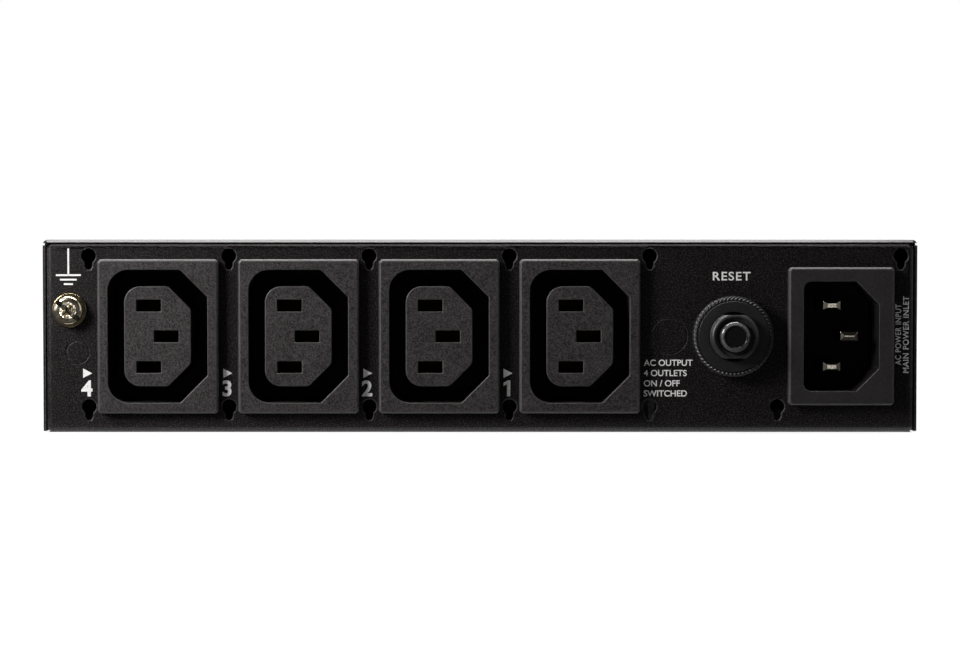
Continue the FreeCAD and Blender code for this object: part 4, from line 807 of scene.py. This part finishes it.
# Breaker nut: a round nylon nut, which holds the breaker to the panel and is turned by hand.
# Slanted ridges run over its round shoulder and down its side; its stepped face is plain.

nut_black = moulded_black(
    "nut_nylon",
    dark=(0.0095, 0.0095, 0.0097),
    light=(0.018, 0.0176, 0.018),
    roughness=0.4,
    grain_size=0.5 * MM,
    depth=0.012 * MM,
)


def from_axis(tree, aside, above):
    """How far a spot lies from an axis, by its two distances."""
    squares = [times(tree, reach, reach) for reach in (aside, above)]
    return worked(tree, "SQRT", worked(tree, "ADD", *squares))


def knurl(tree, given):
    """Raises slanted ridges on the outside of a turned blank about the Y axis."""
    spot = add(tree, "ShaderNodeSeparateXYZ", Vector=add(tree, "GeometryNodeInputPosition")[0])
    angle = worked(tree, "ARCTAN2", spot["Z"], spot["X"])
    radius = from_axis(tree, spot["X"], spot["Z"])
    path = worked(tree, "ADD", radius, spot["Y"])
    around = times(tree, angle, worked(tree, "DIVIDE", given["Ridges"], 2 * math.pi))
    phase = worked(tree, "ADD", around, times(tree, path, given["Slant"]))
    wave = times(tree, worked(tree, "PINGPONG", phase, 0.5), 2.0)
    rise = ranged(tree, radius, given["Start Radius"], given["Full Radius"])
    in_front = worked(tree, "LESS_THAN", spot["Y"], given["End Depth"])
    height = times(tree, wave, times(tree, rise, in_front), given["Height"])
    normal = add(tree, "GeometryNodeInputNormal")[0]
    offset = add(tree, "ShaderNodeVectorMath", operation="SCALE", Vector=normal, Scale=height)[0]
    return add(tree, "GeometryNodeSetPosition", Geometry=given["Geometry"], Offset=offset)[0]


nut_radius = (nut_high.x - nut_low.x) / 2 / MM
nut_height = (nut_high.y - nut_low.y) / MM
nut_bore = 5.55
bore_chamfer = 0.15
step_radius = 8.0
step_round = 0.1
step_drop = 0.4
ridge_height = 0.32
skirt_radius = nut_radius - ridge_height
shoulder_start = 8.2
shoulder_round = skirt_radius - shoulder_start
shoulder_end = step_drop + shoulder_round
skirt_ring = 0.4
nut_profile = [(nut_bore, nut_height), (nut_bore, bore_chamfer), (nut_bore + bore_chamfer, 0)]
nut_profile += arc((step_radius - step_round, step_round), step_round, 270, 360, steps=4)
nut_profile += [(step_radius, step_drop)]
nut_profile += arc((shoulder_start, shoulder_end), shoulder_round, 270, 360, steps=12)
nut_profile += [(skirt_radius, shoulder_end + skirt_ring * ring) for ring in range(1, 7)]
nut_profile += [(skirt_radius, nut_height), (nut_bore, nut_height)]
nut_mesh = grown(
    "knurled_nut",
    turned("nut_blank", nut_profile, (0, 0, 0), steps=480),
    knurl,
    nut_black,
    {
        "Ridges": 60.0,
        "Slant": 0.8 / MM,
        "Height": ridge_height * MM,
        "Start Radius": 8.22 * MM,
        "Full Radius": 8.4 * MM,
        "End Depth": (nut_height - 0.05) * MM,
    },
)
nut_mesh.transform(Matrix.Translation((breaker_x, nut_low.y, middle_z)))
new_piece("knurled_nut", nut_mesh, nut_black, stands_for="breaker_nut")

# Reset button: a turned nylon button with a polished lip round a dished face.
# It springs out by 3.5 mm when the breaker trips, and a shoulder keeps it in the neck.

button_low, button_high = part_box("reset_button")
button_radius = 3.6
dish_radius = 2.42
dish_depth = 0.35
shoulder_radius = 4.3
shoulder_front = 11.8
shoulder_rear = (button_high.y - button_low.y) / MM
lip_inside = [(2.47, 0.3), (2.5, 0.12), (2.54, 0.04), (2.58, 0.01), (2.62, 0), (2.66, 0.008), (2.7, 0.022)]
lip_slope = [(2.8, 0.062), (2.9, 0.108), (3.0, 0.16), (3.1, 0.218), (3.2, 0.285), (3.3, 0.39), (3.4, 0.54)]
lip_outside = [(3.48, 0.73), (3.54, 0.95), (3.58, 1.2), (button_radius, 1.5)]
button_profile = [(0, dish_depth), (dish_radius, dish_depth), *lip_inside, *lip_slope, *lip_outside]
button_profile += [(button_radius, shoulder_front), (shoulder_radius, shoulder_front)]
button_profile += [(shoulder_radius, shoulder_rear), (0, shoulder_rear)]
lip_middle = 2.95 * MM
sheen_reach = 0.5 * MM


def rubbed_black():
    """Black nylon, with a painted sheen in a ring on the lip of the button."""
    finish, tree, shader = new_finish("button_nylon")
    clouds = grain(tree, 0.8 * MM)
    spot = on_piece(tree)
    aside = worked(tree, "SUBTRACT", spot["X"], breaker_x)
    above = worked(tree, "SUBTRACT", spot["Z"], middle_z)
    # A ring of painted sheen round the lip's middle, fading off to both sides.
    off_lip = apart(tree, from_axis(tree, aside, above), lip_middle)
    sheen_fade = worked(tree, "SUBTRACT", 1.0, worked(tree, "DIVIDE", off_lip, sheen_reach))
    share = times(tree, worked(tree, "MAXIMUM", sheen_fade, 0.0), clouds)
    tinted(shader, share, (0.006, 0.006, 0.0062), (0.13, 0.13, 0.128), start=0.0, stop=0.6)
    roughened(shader, clouds, 0.12, 0.18)
    return finish


button = turned("push_button", button_profile, (breaker_x, button_low.y, middle_z))
new_piece("push_button", button, rubbed_black(), "reset_button", "reset_button")

# Bonding screw: a pan head screw with slot and cross, over a plain washer, in yellow passivated zinc.
# It clamps a bonding wire's ring against bare metal.


def yellow_zinc(name, dark, light):
    """Yellow passivate: a golden film with faint clouds."""
    return plated(name, 0.9 * MM, dark, light, rough=(0.14, 0.26), spread=(0.3, 0.7))


def used_recess(finish, centre, turn, width, floor, reach, dents):
    """Paints shade on the floor of a slot, and dents the finish round the recess where drivers slipped."""
    slot_shade = 0.78
    scrape = 0.2
    tree, shader = nodes_of(finish)
    spot = on_piece(tree)
    aside = worked(tree, "SUBTRACT", spot["X"], centre[0])
    above = worked(tree, "SUBTRACT", spot["Z"], centre[2])
    inner = worked(tree, "LESS_THAN", from_axis(tree, aside, above), reach)
    along_x = times(tree, aside, math.sin(turn))
    along_z = times(tree, above, math.cos(turn))
    off_slot = worked(tree, "ABSOLUTE", worked(tree, "ADD", along_x, along_z))
    in_slot = worked(tree, "LESS_THAN", off_slot, width / 2)
    sunk = worked(tree, "GREATER_THAN", spot["Y"], centre[1] + floor)
    # The slot's floor is painted in shade.
    dimmed(shader, worked(tree, "SUBTRACT", 1.0, times(tree, in_slot, sunk, slot_shade)))
    smooth = shader.inputs["Roughness"].links[0].from_socket
    feed(shader.inputs["Roughness"], worked(tree, "ADD", smooth, times(tree, inner, scrape)))
    struck = grain(tree, size=0.8 * MM, detail=1.0)
    bumped(shader, times(tree, struck, inner), dents)


def carved(name, mesh, cutters):
    """A mesh with cutters taken out of it, one after another."""
    holder = set_up(name, mesh)
    blocks = [set_up(name + "_cutter", cutter) for cutter in cutters]
    for block in blocks:
        cut = holder.modifiers.new("recess", "BOOLEAN")
        cut.operation = "DIFFERENCE"
        cut.object = block
    result = evaluated_mesh(holder)
    for block in blocks:
        bpy.data.objects.remove(block)
    return result


def tapered_block(length, width, depth, taper, turn, start):
    """A block sunk along +Y from a start, narrower at its bottom, turned about Y."""
    work = bmesh.new()
    bmesh.ops.create_cube(work, size=1)
    for vertex in work.verts:
        share = taper if vertex.co.y > 0 else 1.0
        vertex.co.x *= length * share
        vertex.co.z *= width * share
        vertex.co.y *= 2 * depth
    mesh = as_mesh(work, "recess_block")
    mesh.transform(Matrix.Translation(start) @ Matrix.Rotation(turn, 4, "Y"))
    return mesh


head_low, head_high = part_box("ground_screw")
screw_x = (head_low.x + head_high.x) / 2
screw_z = (head_low.z + head_high.z) / 2
head_top = (screw_x, head_low.y, screw_z)
head_radius = 3.3
head_height = 2.4
crown_round = 0.95
rim_round = 0.15
shank_radius = 1.95
screw_length = (head_high.y - head_low.y) / MM
head_profile = [(0, 0)]
head_profile += arc((head_radius - crown_round, crown_round), crown_round, 270, 360, steps=12)
head_profile += arc((head_radius - rim_round, head_height - rim_round), rim_round, 0, 90, steps=3)
head_profile += [(shank_radius, head_height), (shank_radius, screw_length), (0, screw_length)]
slot_turn = math.radians(40)
slot_length = 8.0 * MM
slot_width = 1.15 * MM
slot_depth = 0.8 * MM
wing_length = 4.6 * MM
wing_width = 1.5 * MM
wing_depth = 1.5 * MM
wing_taper = 0.3
recess = [tapered_block(slot_length, slot_width, slot_depth, 1.0, slot_turn, head_top)]
for turn in (slot_turn, slot_turn + math.pi / 2):
    recess.append(tapered_block(wing_length, wing_width, wing_depth, wing_taper, turn, head_top))
screw_gold = yellow_zinc("screw_gold", dark=(0.74, 0.62, 0.42), light=(0.95, 0.88, 0.72))
used_recess(screw_gold, head_top, slot_turn, slot_width, floor=0.15 * MM, reach=1.9 * MM, dents=0.4 * MM)
pan_head = carved("pan_head", turned("pan_head", head_profile, head_top), recess)
new_piece("bonding_screw", pan_head, screw_gold, stands_for="ground_screw")
washer_radius = 3.9
washer_bore = 2.25
washer_height = 0.9
washer_round = 0.2
washer_edge = washer_radius - washer_round
washer_profile = [(washer_bore, 0)]
washer_profile += arc((washer_edge, washer_round), washer_round, 270, 360, steps=4)
washer_profile += arc((washer_edge, washer_height - washer_round), washer_round, 0, 90, steps=4)
washer_profile += [(washer_bore, washer_height), (washer_bore, 0)]
washer_front = (screw_x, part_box("ground_washer")[0].y, screw_z)
washer_gold = yellow_zinc("washer_gold", dark=(0.34, 0.27, 0.14), light=(0.56, 0.47, 0.30))
ring = turned("plain_washer", washer_profile, washer_front)
new_piece("plain_washer", ring, washer_gold, stands_for="ground_washer")

# Print: white ink screened on the outlet panel after coating, about 0.03 mm thick.
# It numbers the outlets and names the button, the inlet and the bonding screw.


def white_ink():
    """Screened white ink, slightly uneven."""
    finish, tree, shader = new_finish("white_ink", roughness=0.55)
    cover = grain(tree, 0.6 * MM)
    tinted(shader, cover, (0.76, 0.755, 0.745), (0.88, 0.88, 0.87), start=0.25, stop=0.6)
    bumped(shader, cover, depth=0.02 * MM, strength=0.3)
    return finish


ink = white_ink()
ink_thickness = 0.03 * MM
ink_middle = panel_y - ink_thickness / 2


def ink_shape(name, outline, spot):
    """A flat shape of ink with an outline in millimetres, round a spot of the panel."""
    across, up = spot
    work = bmesh.new()
    corners = [work.verts.new((across + x * MM, panel_y, up + z * MM)) for x, z in outline]
    raised = bmesh.ops.extrude_face_region(work, geom=[work.faces.new(corners)])
    tops = [item for item in raised["geom"] if isinstance(item, bmesh.types.BMVert)]
    bmesh.ops.translate(work, verts=tops, vec=(0, -ink_thickness, 0))
    bmesh.ops.recalc_face_normals(work, faces=work.faces)
    new_piece(name, as_mesh(work, name), ink)


def ink_words(
    name, words, spot, height, width=None, upright=False, from_left=False, spacing=1.0, weight=0.014
):
    """Letters of ink with a given cap height, centred on a spot of the panel or starting at it."""
    letters = bpy.data.curves.new(name, "FONT")
    letters.body = words
    letters.offset = weight
    letters.extrude = 0.5
    letters.space_character = spacing
    mesh = evaluated_mesh(set_up(name + "_letters", letters))
    low = Vector(min(vertex.co[axis] for vertex in mesh.vertices) for axis in range(3))
    high = Vector(max(vertex.co[axis] for vertex in mesh.vertices) for axis in range(3))
    rise = height / (high.y - low.y)
    run = width / (high.x - low.x) if width else rise
    start = Vector((low.x if from_left else (low.x + high.x) / 2, (low.y + high.y) / 2, 0))
    centred = Matrix.Translation(-start)
    scaled = Matrix.Diagonal((run, rise, ink_thickness, 1))
    turned_up = Matrix.Rotation(math.pi / 2, 4, "Z") if upright else Matrix.Identity(4)
    raised = Matrix.Rotation(math.pi / 2, 4, "X")
    across, up = spot
    placed = Matrix.Translation((across, ink_middle, up))
    mesh.transform(placed @ raised @ turned_up @ scaled @ centred)
    new_piece(name, mesh, ink)


earth_x = -93.9 * MM
stroke = 0.41
earth_bars = [(17.0, stroke, 6.0), (13.9, 5.7, stroke), (12.88, 3.8, stroke), (11.86, 2.1, stroke)]
sign = bmesh.new()
for rise, width, height in earth_bars:
    size = Matrix.Diagonal((width * MM, ink_thickness, height * MM, 1))
    spot = Matrix.Translation((earth_x, ink_middle, middle_z + rise * MM))
    bmesh.ops.create_cube(sign, size=1, matrix=spot @ size)
new_piece("earth_sign", as_mesh(sign, "earth_sign"), ink)
outlet_gap = outlet_boxes[3][0].x - outlet_boxes[4][1].x
columns = {number: outlet_boxes[number][0].x - outlet_gap / 2 for number in (4, 3, 2, 1)}
digit_shift = 0.5 * MM
digit_z = middle_z - 11.95 * MM
digit_height = 3.7 * MM
for number in (4, 3, 2):
    digit_spot = (columns[number] - digit_shift, digit_z)
    ink_words(f"outlet_number_{number}", str(number), digit_spot, digit_height, weight=0.03)
flag = [(0.1, 1.85), (-0.85, 1.25), (-0.85, 0.5), (-0.06, 0.96)]
flagged_stem = [(0.72, 1.85), *flag, (-0.06, -1.85), (0.72, -1.85)]
ink_shape("outlet_number_1", flagged_stem, (columns[1] - digit_shift, digit_z))
reset_spot = (breaker_x - 0.2 * MM, middle_z + 13.67 * MM)
ink_words("reset_word", "RESET", reset_spot, height=2.0 * MM, width=8.6 * MM, spacing=1.15)
output_left = 37.4 * MM
output_lines = {"AC OUTPUT": -6.1, "4 OUTLETS": -8.45, "ON / OFF": -10.8, "SWITCHED": -13.1}
for line, (words, rise) in enumerate(output_lines.items(), 1):
    spot = (output_left, middle_z + rise * MM)
    ink_words(f"output_line_{line}", words, spot, height=1.44 * MM, from_left=True)
input_z = middle_z + 0.35 * MM
input_height = 1.35 * MM
input_lines = {"AC POWER INPUT": (95.45, 13.9), "MAIN POWER INLET": (97.2, 17.5)}
for line, (words, (across, length)) in enumerate(input_lines.items(), 1):
    spot = (across * MM, input_z)
    ink_words(f"input_line_{line}", words, spot, input_height, length * MM, upright=True, spacing=1.1)


def ink_pointers(tree, given):
    """A flat triangle of ink pointing right, on each point."""
    disc = add(tree, "GeometryNodeMeshCylinder", Vertices=3, Radius=given["Reach"], Depth=given["Thickness"])
    upright = (math.pi / 2, 0, 0)
    pointer = add(tree, "GeometryNodeTransform", Geometry=disc[0], Rotation=upright, Scale=(1.1, 1, 1))[0]
    return add(tree, "GeometryNodeInstanceOnPoints", Points=given["Geometry"], Instance=pointer)[0]


pointer_shift = 0.65 * MM
pointer_z = middle_z - 8.5 * MM
pointer_spots = [(across - pointer_shift, ink_middle, pointer_z) for across in columns.values()]
pointers = grown(
    "outlet_pointers",
    points_mesh("pointer_spots", pointer_spots),
    ink_pointers,
    ink,
    {"Reach": 1.25 * MM, "Thickness": ink_thickness},
)
new_piece("outlet_pointers", pointers, ink)

# Front side: a network jack and five clear indicator lenses on a light pipe.
# The jack's shell is black; its contact wires are gilt.

jack_black = moulded_black(
    "jack_shell",
    dark=(0.012, 0.012, 0.012),
    light=(0.02, 0.02, 0.02),
    roughness=0.38,
    grain_size=0.4 * MM,
    depth=0.02 * MM,
)
softened("lan_jack", "jack_shell", jack_black, "jack_plastic", edge=0.12 * MM)


def clear_guide():
    """Clear acrylic with a slightly hazy face."""
    finish, tree, shader = new_finish("clear_guide")
    haze = grain(tree, 1.0 * MM)
    tinted(shader, haze, (0.72, 0.75, 0.76), (0.84, 0.87, 0.88))
    roughened(shader, haze, 0.12, 0.26)
    shader.inputs["Transmission Weight"].default_value = 0.75
    shader.inputs["IOR"].default_value = 1.49
    return finish


def moulded(name, dark, light, roughness):
    """A plain coloured moulding with a little flow in its colour."""
    finish, tree, shader = new_finish(name)
    flow = grain(tree, 1.5 * MM, 3.0)
    tinted(shader, flow, dark, light)
    roughened(shader, flow, roughness - 0.06, roughness + 0.06)
    bumped(shader, flow, depth=0.02 * MM, strength=0.3)
    return finish


gilt = plated("contact_gilt", 0.6 * MM, (0.75, 0.52, 0.16), (0.86, 0.66, 0.28), rough=(0.2, 0.32))
dress(gilt, "lan_contacts")
dress(clear_guide(), "light_pipe")
dress(moulded("lamp_white", (0.72, 0.72, 0.66), (0.84, 0.84, 0.79), roughness=0.35), "status_leds")

# Inside: boards, relays, supply and wiring, which show only through the vents and the jack.
# Fasteners and tabs are zinc plated steel, and each moulding has the colour that such parts usually have.

zinc = plated("bright_zinc", 0.9 * MM, (0.48, 0.5, 0.52), (0.68, 0.69, 0.7), rough=(0.25, 0.4))
dress(zinc, "ground_nut", "earth_stud", "earth_nut", "board_standoffs", "board_screws")
dress(zinc, "breaker_line_tab", "breaker_load_tab")
inside_finishes = {
    "solder_mask": ((0.008, 0.07, 0.03), (0.02, 0.15, 0.07), 0.32, ["outlet_board", "main_board"]),
    "relay_shell": ((0.012, 0.03, 0.09), (0.02, 0.05, 0.14), 0.4, [f"relay_{n}" for n in outlet_boxes]),
    "potted_block": ((0.012, 0.012, 0.012), (0.03, 0.03, 0.03), 0.5, ["supply_module", "current_sensor"]),
    "shrunk_sleeve": ((0.012, 0.012, 0.02), (0.03, 0.03, 0.05), 0.25, ["bulk_capacitor"]),
    "terminal_green": ((0.02, 0.16, 0.07), (0.05, 0.28, 0.13), 0.42, ["terminal_block"]),
    "chip_epoxy": ((0.012, 0.012, 0.012), (0.03, 0.03, 0.03), 0.55, ["controller_chip", "board_header"]),
    "clear_film": ((0.55, 0.57, 0.55), (0.72, 0.74, 0.72), 0.2, ["insulating_sheet"]),
    "brown_insulation": ((0.10, 0.04, 0.015), (0.2, 0.09, 0.04), 0.45, ["line_wire", "load_wire"]),
    "blue_insulation": ((0.02, 0.06, 0.26), (0.05, 0.12, 0.42), 0.45, ["neutral_wire"]),
    "green_insulation": ((0.10, 0.30, 0.03), (0.2, 0.48, 0.08), 0.45, ["earth_wire"]),
}
for name, (dark, light, roughness, nodes) in inside_finishes.items():
    dress(moulded(name, dark, light, roughness), *nodes)

# Studio: a white floor in a white room, one softbox from the left, one overhead and one behind.
# The floor and the room show white to the camera, and light the unit only softly.


def seen_white(tree, glossy_share):
    """One for camera and clear rays, and a share of one for reflections."""
    path = add(tree, "ShaderNodeLightPath")
    direct = worked(tree, "MAXIMUM", path["Is Camera Ray"], path["Is Transmission Ray"])
    mirrored = times(tree, path["Is Glossy Ray"], glossy_share)
    return worked(tree, "MAXIMUM", direct, mirrored)


room_level = 0.02
world = bpy.data.worlds.new("studio_room")
bpy.context.scene.world = world
world.use_nodes = True
room = world.node_tree
direction = add(room, "ShaderNodeSeparateXYZ", Vector=add(room, "ShaderNodeTexCoord")["Generated"])
backdrop = ranged(room, direction["Y"], start=0.0, stop=0.6)
walls = ranged(room, worked(room, "ABSOLUTE", direction["X"]), start=0.6, stop=0.9, high=0.7)
sides = worked(room, "MAXIMUM", backdrop, walls)
background = room.nodes["Background"].inputs
background["Color"].default_value = (1, 1, 1, 1)
feed(background["Strength"], worked(room, "MAXIMUM", seen_white(room, sides), room_level))


def floor_paint():
    """Pale paint that shows white to the camera. In reflections it is dim, except for a strip close to the
    unit that glows brighter than white as painted light for the unit's lower edges.
    """
    mirror_loss = 0.9
    shadow_inset = 1.2 * MM
    finish, tree, shader = new_finish("floor_white", roughness=0.9, specular=0.0)
    clouds = grain(tree, size=0.3, detail=1.0)
    tinted(shader, clouds, (0.15, 0.15, 0.15), (0.17, 0.17, 0.17))
    mirrored = add(tree, "ShaderNodeLightPath")["Is Glossy Ray"]
    dimmed(shader, worked(tree, "SUBTRACT", 1.0, times(tree, mirrored, mirror_loss)))
    spot = on_piece(tree)
    aside = worked(tree, "SUBTRACT", worked(tree, "ABSOLUTE", spot["X"]), cad_box[1][0])
    ahead = worked(tree, "SUBTRACT", worked(tree, "ABSOLUTE", spot["Y"]), -panel_y)
    away = worked(tree, "MAXIMUM", aside, ahead)
    # A glowing strip of floor next to the unit, seen only in reflections: painted light that the unit's
    # lower edges reflect.
    glow_strip = ranged(tree, away, start=1.5 * MM, stop=5.0 * MM, low=1.8, high=0.03)
    far = ranged(tree, away, start=0.1, stop=0.5, low=0.86, high=1.0)
    clear = worked(tree, "GREATER_THAN", away, -shadow_inset)
    shader.inputs["Emission Color"].default_value = (1, 1, 1, 1)
    feed(shader.inputs["Emission Strength"], times(tree, seen_white(tree, glow_strip), far, clear))
    return finish


floor_reach = 6.0
floor_level = -0.02 * MM
floor_corners = [(-1, -1), (1, -1), (1, 1), (-1, 1)]
floor_spots = [(floor_reach * x, floor_reach * y, floor_level) for x, y in floor_corners]
floor_mesh = bpy.data.meshes.new("studio_floor")
floor_mesh.from_pydata(floor_spots, [], [(0, 1, 2, 3)])
floor_mesh.materials.append(floor_paint())
studio_floor = set_up("studio_floor", floor_mesh)


def aimed(item, spot, target):
    """Sets a lamp or a camera on a spot and turns it to a target."""
    item.location = spot
    item.rotation_euler = (Vector(target) - Vector(spot)).to_track_quat("-Z", "Y").to_euler()


def softbox(name, spot, target, size, power):
    """A rectangular lamp that looks at a target."""
    lamp = bpy.data.lights.new(name, "AREA")
    lamp.shape = "RECTANGLE"
    lamp.size, lamp.size_y = size
    lamp.energy = power
    holder = set_up(name, lamp)
    holder.visible_camera = False
    aimed(holder, spot, target)


softbox("left_softbox", (-0.30, -0.29, 0.19), (-0.05, -0.08, 0.02), size=(0.15, 0.15), power=1.78)
softbox("overhead_softbox", (-0.05, -0.01, 0.50), (-0.05, -0.01, 0.04), size=(0.5, 0.24), power=5.0)
softbox("rear_softbox", (0.45, 0.55, 0.40), (0.0, 0.0, 0.02), size=(0.6, 0.6), power=6.0)

# Camera: straight in front of the outlet side, a little above its middle.
# A long lens keeps the panel's edges almost parallel.

camera = bpy.data.cameras.new("photo_camera")
camera.sensor_width = 36
camera.lens = 99.05
camera_distance = 0.6
camera_rise = 0.02
aim_rise = 0.1 * MM
viewer = set_up("photo_camera", camera)
camera_spot = (0, outlet_face - camera_distance, middle_z + camera_rise)
aimed(viewer, camera_spot, (0, outlet_face, middle_z + aim_rise))
bpy.context.scene.camera = viewer
bpy.context.scene.view_settings.view_transform = "Standard"
